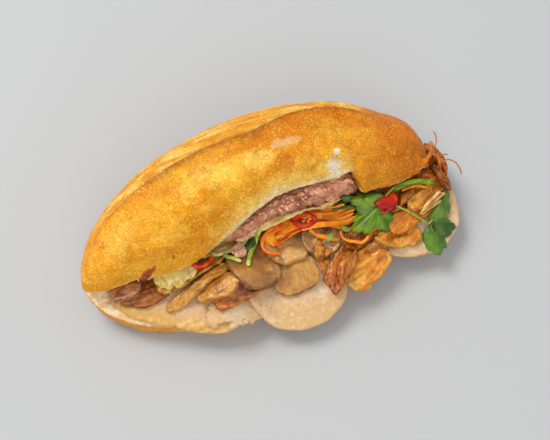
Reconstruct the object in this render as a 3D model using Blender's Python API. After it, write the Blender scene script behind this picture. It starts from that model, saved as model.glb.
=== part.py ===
"""Banh mi sandwich: a crusty roll split along its front and propped open by its filling.

The roll is one closed body with a C-shaped section: its two halves join in a hinge at the back, and
the slit opens to the front. The filling is a stack of thin pieces. Each piece settles on what lies
below it, so the stack is built from the bottom up on a grid of heights, and the roof of the slit is
settled last, on top of the stack. Lengths are in millimetres until a mesh is made.
"""

import math
import random

import bpy
import numpy as np

MM = 0.001
GAP = 0.35              # clear distance kept between neighbouring pieces

# Roll
ROLL_MIDDLE = -8.5      # x of the roll's middle
ROLL_HALF = 100.5       # half the roll's length
AXIS_Y = 5.5            # y of the roll's axis at its middle
AXIS_TURN = 5.5         # how far each tip lies off that, the left one to the front
TIP_HEIGHT = 20.0       # height of the tips' centres
BACK_REACH = 55.5       # roll's axis to its back
BACK_SKEW = 0.08        # how far the widest point lies right of the middle, as a share of half the length
FRONT_REACH = 46.0      # roll's axis to the bottom half's front edge
CROWN_HEIGHT = 66.0
WAIST_HEIGHT = 30.0     # height where the back bulges most
BACK_UNDERCUT = 26.0    # how far the back curls in under itself
FLOOR_HEIGHT = 12.5     # cut face of the bottom half, at its front edge
HINGE_HEIGHT = 21.5     # and at the hinge
LIP_HEIGHT = 29.0       # top half's lower front edge
LIP_REACH = 15.5        # roll's axis to that edge
HINGE_REACH = 32.0      # roll's axis to the back of the slit
PRESS_BACK = 14.0       # how far the pate pushes the lip back
PRESS_UP = 16.0         # and up
LIP_SAG = 2.2           # how far the lip hangs down and forward left of the pate
SLASH_ANGLE = 70.0      # where the slash runs round the section, in degrees above the waist
SLASH_WANDER = 6.0      # how far it strays forward near the middle
SLASH_FALL = 4.0        # and how far it drops back at its right end
SLASH_STEP = 2.2        # height of the slash's raised edge
STATIONS = 33

# Grid of heights
CELL = 0.5
X_MIN, X_MAX, Y_MIN, Y_MAX = -115.0, 115.0, -70.0, 70.0
DROOP = 0.20            # fall of a slice for each millimetre that it hangs over the edge

CRUST = (0.80, 0.42, 0.075)
PORK_ROLL = (0.78, 0.52, 0.30)
ROAST_TAN = (0.50, 0.27, 0.10)
ROAST_BROWN = (0.36, 0.14, 0.035)
ROAST_FAT = (0.62, 0.33, 0.08)
HAM = (0.52, 0.24, 0.14)
CUCUMBER = (0.66, 0.58, 0.26)
CARROT = (0.80, 0.22, 0.015)
CHILLI = (0.60, 0.03, 0.01)
ONION = (0.14, 0.25, 0.02)
ONION_PALE = (0.42, 0.48, 0.10)
PATE = (0.50, 0.26, 0.15)
CRISP = (0.42, 0.16, 0.03)

GRID_X, GRID_Y = np.meshgrid(
    np.arange(X_MIN, X_MAX + CELL / 2, CELL), np.arange(Y_MIN, Y_MAX + CELL / 2, CELL), indexing="ij"
)


def clear_scene():
    for obj in list(bpy.data.objects):
        bpy.data.objects.remove(obj, do_unlink=True)


def smoothstep(low, high, value):
    share = min(max((value - low) / (high - low), 0.0), 1.0)
    return share * share * (3 - 2 * share)


def signed_power(value, power):
    return math.copysign(abs(value) ** power, value)


def material(name, colour, roughness):
    mat = bpy.data.materials.new(name)
    mat.use_nodes = True
    shader = mat.node_tree.nodes["Principled BSDF"]
    shader.inputs["Base Color"].default_value = (*colour, 1)
    shader.inputs["Roughness"].default_value = roughness
    shader.inputs["Metallic"].default_value = 0
    mat.diffuse_color = (*colour, 1)
    return mat


def add_mesh(name, points, faces, colour, roughness=0.5):
    mesh = bpy.data.meshes.new(name)
    mesh.from_pydata([tuple(p * MM for p in point) for point in points], [], faces)
    mesh.validate()
    mesh.update()
    mesh.polygons.foreach_set("use_smooth", [True] * len(mesh.polygons))
    mesh.materials.append(material(name, colour, roughness))
    obj = bpy.data.objects.new(name, mesh)
    bpy.context.scene.collection.objects.link(obj)
    return obj


# --- grid of heights -------------------------------------------------------------------------------


def under_triangle(corners):
    """The grid window under a triangle, which of its cells are inside, and their corner weights."""
    (ax, ay, _), (bx, by, _), (cx, cy, _) = corners
    area = (bx - ax) * (cy - ay) - (cx - ax) * (by - ay)
    if abs(area) < 1e-6:
        return None
    i0 = max(math.ceil((min(ax, bx, cx) - X_MIN) / CELL - 0.01), 0)
    i1 = min(math.floor((max(ax, bx, cx) - X_MIN) / CELL + 0.01) + 1, GRID_X.shape[0])
    j0 = max(math.ceil((min(ay, by, cy) - Y_MIN) / CELL - 0.01), 0)
    j1 = min(math.floor((max(ay, by, cy) - Y_MIN) / CELL + 0.01) + 1, GRID_X.shape[1])
    if i0 >= i1 or j0 >= j1:
        return None
    window = (slice(i0, i1), slice(j0, j1))
    x, y = GRID_X[window], GRID_Y[window]
    wa = ((bx - x) * (cy - y) - (cx - x) * (by - y)) / area
    wb = ((cx - x) * (ay - y) - (ax - x) * (cy - y)) / area
    weights = np.stack([wa, wb, 1 - wa - wb])
    inside = (weights >= -0.02).all(axis=0)
    return (window, inside, weights) if inside.any() else None


def widened(field, cells=1):
    """The highest value within so many cells."""
    out = field.copy()
    for di in range(-cells, cells + 1):
        for dj in range(-cells, cells + 1):
            shifted = np.roll(np.roll(field, di, axis=0), dj, axis=1)
            out = np.maximum(out, shifted)
    return out


def blurred(field, spread):
    """A Gaussian blur whose spread is in millimetres."""
    reach = int(3 * spread / CELL)
    if reach < 1:
        return field
    kernel = np.exp(-0.5 * (np.arange(-reach, reach + 1) * CELL / spread) ** 2)
    kernel /= kernel.sum()
    padded = np.pad(field, reach, mode="edge")
    across = sum(k * padded[i:i + field.shape[0], :] for i, k in enumerate(kernel))
    return sum(k * across[:, i:i + field.shape[1]] for i, k in enumerate(kernel))


def sampled(field, x, y):
    """The field at a point between grid cells."""
    fi = min(max((x - X_MIN) / CELL, 0), field.shape[0] - 1.001)
    fj = min(max((y - Y_MIN) / CELL, 0), field.shape[1] - 1.001)
    i, j = int(fi), int(fj)
    u, v = fi - i, fj - j
    near = field[i, j] * (1 - v) + field[i, j + 1] * v
    far = field[i + 1, j] * (1 - v) + field[i + 1, j + 1] * v
    return near * (1 - u) + far * u


class Stack:
    """What has been laid so far, as its height over each grid cell."""

    def __init__(self):
        self.height = np.zeros(GRID_X.shape)

    def cover(self, points, triangles):
        for triangle in triangles:
            corners = [points[i] for i in triangle]
            found = under_triangle(corners)
            if found is None:
                continue
            window, inside, weights = found
            z = sum(w * c[2] for w, c in zip(weights, corners))
            self.height[window] = np.where(inside, np.maximum(self.height[window], z), self.height[window])

    def rest_field(self, spread):
        """A soft surface over the stack. It falls away gently past the bottom half's edge."""
        beyond = np.hypot((GRID_X - ROLL_MIDDLE) / ROLL_HALF, (GRID_Y - AXIS_Y) / FRONT_REACH) - 1
        fall = FLOOR_HEIGHT - DROOP * FRONT_REACH * np.maximum(beyond, 0)
        return blurred(np.maximum(widened(self.height), np.maximum(fall, 4.0)), spread)

    def lift_clear(self, points, triangles, owner, rise):
        """Raises the owners of the corners of each triangle until it clears the stack by the gap."""
        floor = widened(self.height) + GAP
        for _ in range(80):
            worst = 0.0
            for triangle in triangles:
                corners = [(points[i][0], points[i][1], points[i][2] + rise[owner[i]]) for i in triangle]
                found = under_triangle(corners)
                if found is None:
                    continue
                window, inside, weights = found
                z = sum(w * c[2] for w, c in zip(weights, corners))
                short = np.where(inside, floor[window] - z, -1.0)
                at = np.unravel_index(short.argmax(), short.shape)
                if short[at] < 0.01:
                    continue
                worst = max(worst, short[at])
                share = np.maximum(weights[(slice(None), *at)], 0)
                share = share / (share ** 2).sum()
                for i, part in zip(triangle, share):
                    rise[owner[i]] += short[at] * part
            if worst < 0.01:
                break


def softened(rises, closed=False):
    """A smoother row of rises, none lower than it was."""
    count = len(rises)

    def near(values, i):
        if closed:
            return [values[i - 1], values[i], values[(i + 1) % count]]
        return values[max(i - 1, 0):i + 2]

    highest = [max(near(rises, i)) for i in range(count)]
    return [sum(near(highest, i)) / len(near(highest, i)) for i in range(count)]


def triangulated(quads):
    return [t for a, b, c, d in quads for t in ((a, b, c), (a, c, d))]


# --- slices and strands ----------------------------------------------------------------------------


class Outline:
    """A rounded plan shape with a wavy edge, laid at a centre and turned by an angle."""

    def __init__(self, seed, centre, length, width, turn=0.0, square=2.4, ragged=0.04, bow=0.0, taper=0.0):
        rng = random.Random(seed)
        self.centre = centre
        self.half = (length / 2, width / 2)
        self.turn = math.radians(turn)
        self.square = square
        self.bow = bow
        self.taper = taper
        self.waves = [
            (k, ragged * rng.uniform(0.5, 1.0) / math.sqrt(k - 1), rng.uniform(0, 2 * math.pi))
            for k in (2, 3, 5, 7)
        ]

    def at(self, share, angle):
        """The plan point at this share of the way out, in this direction."""
        wave = 1 + sum(size * math.sin(k * angle + phase) for k, size, phase in self.waves)
        power = 2 / self.square
        u = signed_power(math.cos(angle), power) * share * wave
        v = signed_power(math.sin(angle), power) * share * wave
        x = u * self.half[0]
        y = v * self.half[1] * (1 + self.taper * u) + self.bow * (1 - u * u)
        cos, sin = math.cos(self.turn), math.sin(self.turn)
        return self.centre[0] + x * cos - y * sin, self.centre[1] + x * sin + y * cos, u, v


def behind_limit(x):
    """How far back the filling may reach at this x: short of the hinge, and in front of the tips."""
    t = (x - ROLL_MIDDLE) / ROLL_HALF
    section = RollSection(min(max(t, -0.998), 0.998))
    room = section.hinge_y - 1.5
    near_tip = AXIS_Y + AXIS_TURN * t - 4 + 4.0 * ROLL_HALF * max(abs(t) - 1.01, 0)
    return room + (near_tip - room) * smoothstep(0.80, 0.92, abs(t))


def slice_of(stack, name, outline, thickness, colour, roughness=0.5, stiff=3.0, flat=0.0, sides=18,
             rings=(0.55, 0.92), curl=0.0, dome=0.12, lumps=0.0, top=None):
    """A thin slice with a rounded edge. Its underside follows the stack, and stays clear of it.

    flat is how much of the stack's unevenness it bridges, and top gives its upper face if set.
    """
    rest = stack.rest_field(stiff)
    rng = random.Random(name)
    plan = [(*outline.at(0, 0), 0.0)]
    for share in (*rings, 1.0):
        for k in range(sides):
            plan.append((*outline.at(share, 2 * math.pi * k / sides), share))
    places = []
    for x, y, u, v, share in plan:
        y = min(y, behind_limit(x))
        lift = curl * share ** 3 + lumps * rng.uniform(-0.5, 0.5) * (share < 0.9)
        body = thickness * (1 + dome * (1 - share) - 0.25 * share ** 6)
        places.append((x, y, sampled(rest, x, y) + GAP, lift, body))
    level = fitted_plane(places)
    places = [(x, y, z + flat * (level(x, y) - z), lift, body) for x, y, z, lift, body in places]
    last = 1 + sides * len(rings)
    under, over, owner = [], [], []
    for index, (x, y, z, lift, body) in enumerate(places):
        middle = index >= last
        under.append((x, y, z + max(lift, 0) + (body * 0.5 if middle else 0)))
        owner.append(index)
    bottoms = disc_triangles(0, sides, len(rings) + 1)
    rise = [0.0] * len(places)
    stack.lift_clear(under, bottoms, owner, rise)
    for index, (x, y, z, lift, body) in enumerate(places[:last]):
        low = under[index][2] + rise[index]
        high = low + body + abs(min(lift, 0)) * 0.5
        over.append((x, y, max(low + 1.0, top(x, y) + lift) if top else high))
    under = [(x, y, z + r) for (x, y, z), r in zip(under, rise)]
    points = under + over
    offset = len(under)
    top_faces = disc_triangles(offset, sides, len(rings))
    rim = range(last, last + sides)
    edge = range(offset + last - sides, offset + last)
    for k in range(sides):
        n = (k + 1) % sides
        top_faces += [(edge[k], rim[k], rim[n]), (edge[k], rim[n], edge[n])]
    faces = [tuple(reversed(t)) for t in bottoms] + top_faces
    stack.cover(points, top_faces)
    return add_mesh(name, points, faces, colour, roughness)


def fitted_plane(places):
    """The plane that lies closest to these places, as a function of x and y."""
    table = np.array([place[:3] for place in places])
    sides = np.column_stack([table[:, :2], np.ones(len(table))])
    (a, b, c), *_ = np.linalg.lstsq(sides, table[:, 2], rcond=None)
    return lambda x, y: a * x + b * y + c


def disc_triangles(start, sides, rings):
    """Triangles of a disc: a centre, then rings of so many sides, facing up."""
    found = [(start, start + 1 + k, start + 1 + (k + 1) % sides) for k in range(sides)]
    for ring in range(rings - 1):
        inner, outer = start + 1 + ring * sides, start + 1 + (ring + 1) * sides
        for k in range(sides):
            n = (k + 1) % sides
            found += [(inner + k, outer + k, outer + n), (inner + k, outer + n, inner + n)]
    return found


def strand_of(stack, name, path, width, height, colour, roughness=0.4, closed=False, sides=6, stiff=1.5,
              point=0.55, rigid=False):
    """A strand of rounded section laid along a plan path. It rests on the stack, or lies flat on it."""
    rest = stack.rest_field(stiff)
    count = len(path)
    heights = [sampled(rest, x, y) for x, y in path]
    if rigid:
        level = fitted_plane([(x, y, z) for (x, y), z in zip(path, heights)])
        heights = [level(x, y) for x, y in path]
    points, owner, quads = [], [], []
    for i, (x, y) in enumerate(path):
        before = path[i - 1] if closed or i else path[0]
        after = path[(i + 1) % count] if closed or i < count - 1 else path[-1]
        along = math.atan2(after[1] - before[1], after[0] - before[0])
        end = 1.0 if closed else point + (1 - point) * math.sin(math.pi * (i + 0.5) / count) ** 0.4
        z = heights[i] + GAP + height / 2
        for k in range(sides):
            angle = 2 * math.pi * k / sides
            side = math.cos(angle) * width / 2 * end
            points.append((x - side * math.sin(along), y + side * math.cos(along),
                           z + math.sin(angle) * height / 2 * end))
            owner.append(0 if rigid else i)
    for i in range(count if closed else count - 1):
        a, b = i * sides, (i + 1) % count * sides
        for k in range(sides):
            n = (k + 1) % sides
            quads.append((a + k, a + n, b + n, b + k))
    faces = triangulated(quads)
    rise = [0.0] * count
    stack.lift_clear(points, faces, owner, rise)
    if not rigid:
        rise = softened(rise, closed)
    points = [(x, y, z + rise[i]) for (x, y, z), i in zip(points, owner)]
    if not closed:
        quads += [tuple(reversed(range(sides))), tuple(range((count - 1) * sides, count * sides))]
    stack.cover(points, faces)
    return add_mesh(name, points, quads, colour, roughness)


def arc_path(centre, radii, start, end, steps, turn=0.0):
    """Plan points along part of an ellipse, its angles in degrees."""
    turn = math.radians(turn)
    path = []
    for i in range(steps):
        angle = math.radians(start + (end - start) * i / (steps - 1))
        x, y = radii[0] * math.cos(angle), radii[1] * math.sin(angle)
        path.append((centre[0] + x * math.cos(turn) - y * math.sin(turn),
                     centre[1] + x * math.sin(turn) + y * math.cos(turn)))
    return path


def ring_path(centre, radii, steps, turn=0.0):
    return arc_path(centre, radii, 0, 360, steps + 1, turn)[:-1]


def bent_path(start, end, bow, steps):
    """Plan points from start to end, bowed sideways."""
    path = []
    length = math.dist(start, end)
    side = ((start[1] - end[1]) / length, (end[0] - start[0]) / length)
    for i in range(steps):
        t = i / (steps - 1)
        swing = 4 * bow * t * (1 - t)
        path.append((start[0] + (end[0] - start[0]) * t + side[0] * swing,
                     start[1] + (end[1] - start[1]) * t + side[1] * swing))
    return path


# --- roll ------------------------------------------------------------------------------------------


class RollSection:
    """The roll's section at one station, t from -1 at the left tip to 1 at the right."""

    def __init__(self, t):
        self.x = ROLL_MIDDLE + ROLL_HALF * t
        full = max(1 - abs(t) ** 2.5, 0) ** 0.52
        blunt = full ** 0.4
        axis = AXIS_Y + AXIS_TURN * t
        pressed = smoothstep(-54, 6, self.x) * (1 - 0.86 * smoothstep(44.0, 47.4, self.x))
        pressed *= (1 - 0.12 * smoothstep(8, 44, self.x)) * (1 - smoothstep(50, 72, self.x))
        skewed = abs(t - BACK_SKEW * (1 - t * t))
        self.full = full
        self.back = axis + BACK_REACH * max(1 - skewed ** 2.1, 0) ** 0.58
        self.front = axis - FRONT_REACH * max(1 - abs(t) ** 2.3, 0) ** 0.56
        lip = axis - LIP_REACH * full ** 0.5
        sag = LIP_SAG * smoothstep(-86, -70, self.x) * (1 - smoothstep(-60, -38, self.x))
        self.press = PRESS_BACK * pressed
        self.lip_y = lip + self.press - 0.8 * sag
        self.lip_z = TIP_HEIGHT + (LIP_HEIGHT - TIP_HEIGHT) * blunt + PRESS_UP * pressed - 0.6 * sag
        self.floor_z = TIP_HEIGHT + (FLOOR_HEIGHT - TIP_HEIGHT) * blunt
        self.hinge_y = axis + HINGE_REACH * full ** 1.2
        self.crown_y = lip + 0.42 * (self.back - lip) + 5 * smoothstep(-70, 8, self.x) * full ** 2
        self.hinge_z = TIP_HEIGHT + (HINGE_HEIGHT - TIP_HEIGHT) * full
        self.crown_z = TIP_HEIGHT + (CROWN_HEIGHT - TIP_HEIGHT) * full ** 0.9
        self.waist_z = TIP_HEIGHT + (WAIST_HEIGHT - TIP_HEIGHT) * full
        low = max(1 - abs(t) ** 6, 0) ** 0.5
        self.base_z = max(TIP_HEIGHT - 22 * low, 0)
        self.undercut = BACK_UNDERCUT * full
        self.slash = SLASH_STEP * smoothstep(-98, -78, self.x) * (1 - smoothstep(50, 68, self.x))
        self.slash_angle = SLASH_ANGLE + SLASH_WANDER * math.exp(-((self.x + 8) / 16) ** 2)
        self.slash_angle -= SLASH_FALL * smoothstep(8, 26, self.x)

    def floor(self):
        """Cut face of the bottom half, from the hinge to its front edge."""
        ys = np.linspace(self.hinge_y - 1.0, self.front + 1.2 * self.full, 6)
        fall = self.floor_z - self.hinge_z
        return [(y, self.hinge_z + fall * (i / 5) ** 1.15) for i, y in enumerate(ys)]

    def roof(self):
        """The lip and the cut face behind it to the hinge, before they settle on the filling."""
        ys = np.linspace(self.lip_y + 2.0 * self.full + 0.2, self.hinge_y - 1.0, 7)
        cut = [(y, self.roof_z(y)) for y in ys]
        nose = [
            (self.lip_y - 0.6 * self.full, self.lip_z + 2.2 * self.full),
            (self.lip_y + 0.3 * self.full, self.lip_z + 0.5 * self.full),
        ]
        return nose + cut

    def roof_z(self, y):
        start = self.lip_y + 2.0 * self.full + 0.2
        share = min(max((y - start) / (self.hinge_y - 1.0 - start), 0), 1)
        return self.lip_z + (self.hinge_z + 1.2 - self.lip_z) * share ** 1.15

    def outside(self, lip_z):
        """Crust, from the bottom half's front edge under the roll and over its crown to the lip."""
        full, base = self.full, self.base_z
        rim = self.floor_z - base
        points = [
            (self.front, self.floor_z - 0.8 * full),
            (self.front - 0.8 * full, base + 0.55 * rim),
            (self.front + 2.5 * full, base + 0.2 * rim),
            (self.front + 8 * full, base),
        ]
        start, stop = self.front + 20 * full, self.back - self.undercut
        points += [(start + (stop - start) * i / 3, base) for i in range(4)]
        for degrees in (-68, -48, -28, -10):
            angle = math.radians(degrees)
            points.append((
                stop + self.undercut * math.cos(angle) ** 0.9,
                self.waist_z - (self.waist_z - base) * (-math.sin(angle)) ** 0.9,
            ))
        behind = self.back - self.crown_y
        at = self.slash_angle
        turns = [at * share for share in (0.13, 0.38, 0.62, 0.82)] + [at - 4, at - 1, at + 1, at + 4]
        turns += [at + 4 + (86 - at) * share for share in (0.33, 0.67, 1.0)]
        points += [self.round_point(degrees, behind) for degrees in turns]
        ahead = self.crown_y - self.lip_y + self.press + 0.6 * full
        end = math.degrees(math.asin(min((lip_z - self.waist_z) / (self.crown_z - self.waist_z), 0.97)))
        for i in range(1, 7):
            angle = math.radians(90 - (90 - end) * i / 7)
            share = math.cos(angle) / math.cos(math.radians(end))
            points.append((
                self.crown_y - ahead * share ** 0.9 + self.press * share ** 2,
                self.waist_z + (self.crown_z - self.waist_z) * math.sin(angle),
            ))
        return points

    def round_point(self, degrees, reach):
        """A point of the crust behind the crown, with the slash's raised edge and groove."""
        angle = math.radians(degrees)
        past = degrees - self.slash_angle
        if past > 0:
            out = self.slash * math.exp(-((past - 1) / 12) ** 2)
        else:
            out = -0.75 * self.slash * math.exp(-((past + 2) / 9) ** 2)
        return (
            self.crown_y + (reach + out) * math.cos(angle) ** 0.9,
            self.waist_z + (self.crown_z - self.waist_z + out) * math.sin(angle) ** 0.9,
        )


def roll_sections():
    """Sections closer together towards the tips, and where the lip steps down past the pate."""
    stations = [math.sin(math.pi / 2 * 0.96 * (2 * i / (STATIONS - 1) - 1)) for i in range(STATIONS)]
    stations += [(x - ROLL_MIDDLE) / ROLL_HALF for x in (44.0, 45.8, 47.6)]
    return [RollSection(t) for t in sorted(stations)]


def lay_floor(stack, sections):
    """Lays the bottom half's cut face as the first surface of the stack."""
    points, rows = [], len(sections[0].floor())
    for section in sections:
        points += [(section.x, y, z) for y, z in section.floor()]
    stack.cover(points, strip_triangles(len(sections), rows))


def strip_triangles(columns, rows):
    found = []
    for i in range(columns - 1):
        for j in range(rows - 1):
            a, b = i * rows + j, (i + 1) * rows + j
            found += [(a, b, b + 1), (a, b + 1, a + 1)]
    return found


def bread_roll(stack, sections):
    """The roll: crust outside, and the slit's roof settled on the filling."""
    roof, rows = [], len(sections[0].roof())
    for section in sections:
        roof += [(section.x, y, z) for y, z in section.roof()]
    rise = [0.0] * len(roof)
    stack.lift_clear(roof, strip_triangles(len(sections), rows), list(range(len(roof))), rise)
    for row in range(rows):
        rise[row::rows] = softened(softened(rise[row::rows]))
    roof = [(x, y, z + r) for (x, y, z), r in zip(roof, rise)]
    points = []
    for i, section in enumerate(sections):
        ceiling = roof[i * rows:(i + 1) * rows]
        ring = [(section.x, y, z) for y, z in section.outside(ceiling[0][2])]
        ring += ceiling
        ring.append((section.x, section.hinge_y, section.hinge_z + 0.6))
        ring += [(section.x, y, z) for y, z in section.floor()]
        points += ring
    size = len(points) // len(sections)
    faces = []
    for i in range(len(sections) - 1):
        for k in range(size):
            n = (k + 1) % size
            a, b = i * size, (i + 1) * size
            faces.append((a + k, b + k, b + n, a + n))
    faces.append(tuple(range(size)))
    faces.append(tuple(reversed(range(len(points) - size, len(points)))))
    return add_mesh("bread_roll", points, [tuple(reversed(f)) for f in faces], CRUST, 0.42)


# --- filling, from the bottom up -------------------------------------------------------------------


def pork_roll(stack):
    """Pale slices of steamed pork roll, lying on the bottom half and hanging over its front edge."""
    rows = (
        ("pork_roll_slice_left", (-62, -20), 74, 37, -29, 3.0, 0.02, 3.0),
        ("pork_roll_slice_torn", (-36, -29), 34, 36, -8, 3.4, 0.09, 3.0),
        ("pork_roll_slice_middle", (-1, -28.5), 60, 60, 0, 2.1, 0.012, 3.0),
        ("pork_roll_slice_right", (72, -9), 62, 60, -18, 2.6, 0.03, 3.0),
    )
    for name, centre, length, width, turn, square, ragged, thickness in rows:
        outline = Outline(name, centre, length, width, turn, square, ragged)
        slice_of(stack, name, outline, thickness, PORK_ROLL, 0.45, stiff=4.0, sides=22)


def roast_pork(stack):
    """Slices and strips of roast pork, front ones lowest, each overlapping the one before it."""
    rows = (
        # centre, length, width, turn, squareness, raggedness, thickness, curl, colour
        ((-32, -31), 33, 14, 12, 3.0, 0.06, 3.0, 0.0, ROAST_BROWN),
        ((38.5, -36.5), 31, 19, 28, 3.4, 0.05, 3.6, 0.4, ROAST_FAT),
        ((24, -34), 30, 13, 40, 3.4, 0.05, 3.8, 0.3, ROAST_BROWN),
        ((-79, -16), 26, 13, 4, 2.8, 0.07, 3.0, 0.2, ROAST_BROWN),
        ((-42, -26), 19, 13, -12, 3.2, 0.05, 2.6, 0.0, ROAST_TAN),
        ((-51, -21.5), 43, 7.5, 18, 3.6, 0.04, 2.4, 0.0, ROAST_FAT),
        ((59.5, -22.5), 28, 24, -12, 3.0, 0.05, 2.6, 0.2, ROAST_FAT),
        ((-0.5, -30), 27, 22, 8, 2.8, 0.03, 2.8, 0.0, ROAST_TAN),
        ((-20.5, -19.5), 27, 33, 6, 2.6, 0.05, 2.8, 0.0, ROAST_TAN),
        ((-1, -12), 24, 28, 4, 3.0, 0.04, 3.0, 0.0, ROAST_TAN),
        ((51, -6), 20, 24, 0, 2.6, 0.06, 2.6, 0.0, ROAST_BROWN),
        ((40.5, -20), 19, 16, 12, 2.6, 0.07, 2.6, 0.5, ROAST_BROWN),
        ((20, -15), 21, 21, -22, 3.4, 0.05, 2.8, 0.0, ROAST_TAN),
        ((-53, -12), 44, 12, 12, 3.4, 0.04, 3.0, 0.0, ROAST_FAT),
        ((-88, -10), 19, 15, -4, 2.8, 0.05, 3.2, 0.0, HAM),
        ((73, -17), 38, 12.5, 23, 3.2, 0.05, 2.4, 0.2, ROAST_FAT),
        ((84, -8), 33, 12, 27, 3.2, 0.05, 2.4, 0.3, ROAST_FAT),
        ((69, -5), 22, 17, 28, 3.2, 0.05, 2.2, 0.0, ROAST_BROWN),
        ((86, 3), 20, 14, -8, 2.6, 0.07, 2.6, 0.5, ROAST_BROWN),
        ((88, -14.5), 24, 4.5, 24, 3.0, 0.04, 1.8, 0.0, PORK_ROLL),
        ((96.5, -2.5), 15, 7.5, -72, 3.0, 0.07, 3.4, 0.0, ROAST_BROWN),
    )
    for number, row in enumerate(rows, 1):
        centre, length, width, turn, square, ragged, thickness, curl, colour = row
        name = f"roast_pork_{number:02d}"
        outline = Outline(name, centre, length, width, turn, square, ragged)
        slice_of(stack, name, outline, thickness, colour, 0.38, stiff=1.8, flat=0.25, sides=14, curl=curl,
                 lumps=0.4)


def vegetables(stack):
    """Carrot, chilli, spring onion and cucumber, tucked under the lip."""
    heap = Outline("carrot", (18, -2.5), 54, 22, -4, 2.6, 0.07)
    slice_of(stack, "carrot_shreds", heap, 4.2, CARROT, 0.35, stiff=2.0, sides=22, dome=0.4, lumps=1.0)
    strand_of(stack, "spring_onion_stem_1", bent_path((26, -0.5), (45, -7), 0.6, 7), 2.4, 1.8, ONION)
    strand_of(stack, "spring_onion_stem_2", bent_path((33, 0.5), (48, -4), 0.5, 6), 2.2, 1.8, ONION)
    strand_of(stack, "chilli_ring_1", ring_path((13, -6.5), (5.6, 3.8), 12, -12), 3.0, 2.2, CHILLI,
              closed=True, rigid=True)
    slice_of(stack, "cucumber_slice_1", Outline("c1", (-61, -12), 24, 15, 4, 2.8, 0.05), 2.6, CUCUMBER,
             0.3, stiff=3.0, sides=18)
    slice_of(stack, "cucumber_slice_2", Outline("c2", (-27, -2.5), 38, 13, 9, 2.8, 0.04), 2.6, CUCUMBER,
             0.3, stiff=3.0, sides=18)
    slice_of(stack, "cucumber_slice_3", Outline("c3", (9, 3), 62, 14, 5, 3.0, 0.02), 2.6, CUCUMBER,
             0.3, stiff=4.0, sides=22)
    strand_of(stack, "chilli_ring_2", arc_path((-46.5, -9.0), (6.0, 5.0), 200, 350, 8), 2.6, 2.4, CHILLI)
    strand_of(stack, "chilli_ring_3", ring_path((61.5, -9.5), (3.8, 2.8), 10, 60), 2.6, 2.0, CHILLI,
              closed=True, rigid=True)
    strand_of(stack, "chilli_ring_4", ring_path((57.5, -12.0), (3.8, 2.8), 10, 5), 2.6, 2.0, CHILLI,
              closed=True, rigid=True)
    strand_of(stack, "carrot_shred_1", arc_path((-5, -13), (8, 7.0), 70, 250, 10, 15), 2.2, 1.8, CARROT)
    strand_of(stack, "carrot_shred_2", bent_path((14, -13), (28, -19), -0.8, 6), 2.8, 1.6, CARROT)
    strand_of(stack, "carrot_shred_3", arc_path((39, -17), (8, 9.0), 165, 300, 9, 0), 1.8, 1.6, CARROT)
    strand_of(stack, "carrot_shred_4", bent_path((71, -4.5), (84.5, -7.5), 0.6, 6), 2.2, 1.4, CARROT)
    strand_of(stack, "spring_onion_blade", bent_path((64, -4.5), (88.5, -7), 1.2, 8), 3.6, 1.0, ONION,
              rigid=True)
    strand_of(stack, "spring_onion_pale_1", bent_path((-12, -5.5), (-24, -22.5), -1.5, 8), 2.6, 1.8,
              ONION_PALE)
    strand_of(stack, "spring_onion_pale_2", bent_path((-34, -11), (-27, -18.5), 0.4, 5), 2.4, 1.6,
              ONION_PALE)


def pate(stack):
    """A thick rough band of pate, squeezed out under the lip, and the lump that fell from its end."""
    band = Outline("pate", (8.5, 9.5), 84, 25, 5, 3.8, 0.03)
    slice_of(stack, "pate", band, 7.0, PATE, 0.6, stiff=2.5, sides=26, rings=(0.5, 0.8, 0.95), lumps=0.8,
             top=pate_top)
    lump = Outline("pate_lump", (-26, -11), 9, 8, 30, 2.2, 0.10)
    slice_of(stack, "pate_lump", lump, 3.0, PATE, 0.6, stiff=1.5, sides=12, rings=(0.6, 0.9), lumps=0.6)


def pate_top(x, y):
    """The pate fills up to the roof of the slit, and rounds off in front of the lip."""
    section = RollSection((x - ROLL_MIDDLE) / ROLL_HALF)
    ahead = max(section.lip_y - y, 0)
    return section.roof_z(y) - 0.8 - 0.02 * ahead ** 2


def crisp_shreds(stack):
    """A loose heap of crisp fried shreds spilling past the right tip."""
    heap = Outline("crisp", (98.6, 14), 13, 28, 16, 2.2, 0.09)
    slice_of(stack, "crisp_shreds", heap, 6.0, CRISP, 0.5, stiff=2.5, sides=18, dome=0.5, lumps=1.6)


def centre_on_base():
    """Moves every piece so that the whole stands on z = 0 around the origin."""
    objects = list(bpy.context.scene.objects)
    corners = np.array([v.co for obj in objects for v in obj.data.vertices])
    low, high = corners.min(axis=0), corners.max(axis=0)
    shift = np.array([(low[0] + high[0]) / 2, (low[1] + high[1]) / 2, low[2]])
    for obj in objects:
        for vertex in obj.data.vertices:
            vertex.co = [value - step for value, step in zip(vertex.co, shift)]


def main():
    clear_scene()
    stack = Stack()
    sections = roll_sections()
    lay_floor(stack, sections)
    pork_roll(stack)
    roast_pork(stack)
    crisp_shreds(stack)
    vegetables(stack)
    pate(stack)
    bread_roll(stack, sections)
    centre_on_base()


main()
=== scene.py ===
"""Banh mi sandwich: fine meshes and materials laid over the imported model's solids.

Lengths are in millimetres and measured from the roll's datum, which is the point of the plane it
rests on that the solids were laid out from, until a mesh is made.
"""

import math
import random

import bmesh
import bpy
import numpy as np
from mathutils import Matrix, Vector
from mathutils.bvhtree import BVHTree


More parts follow.
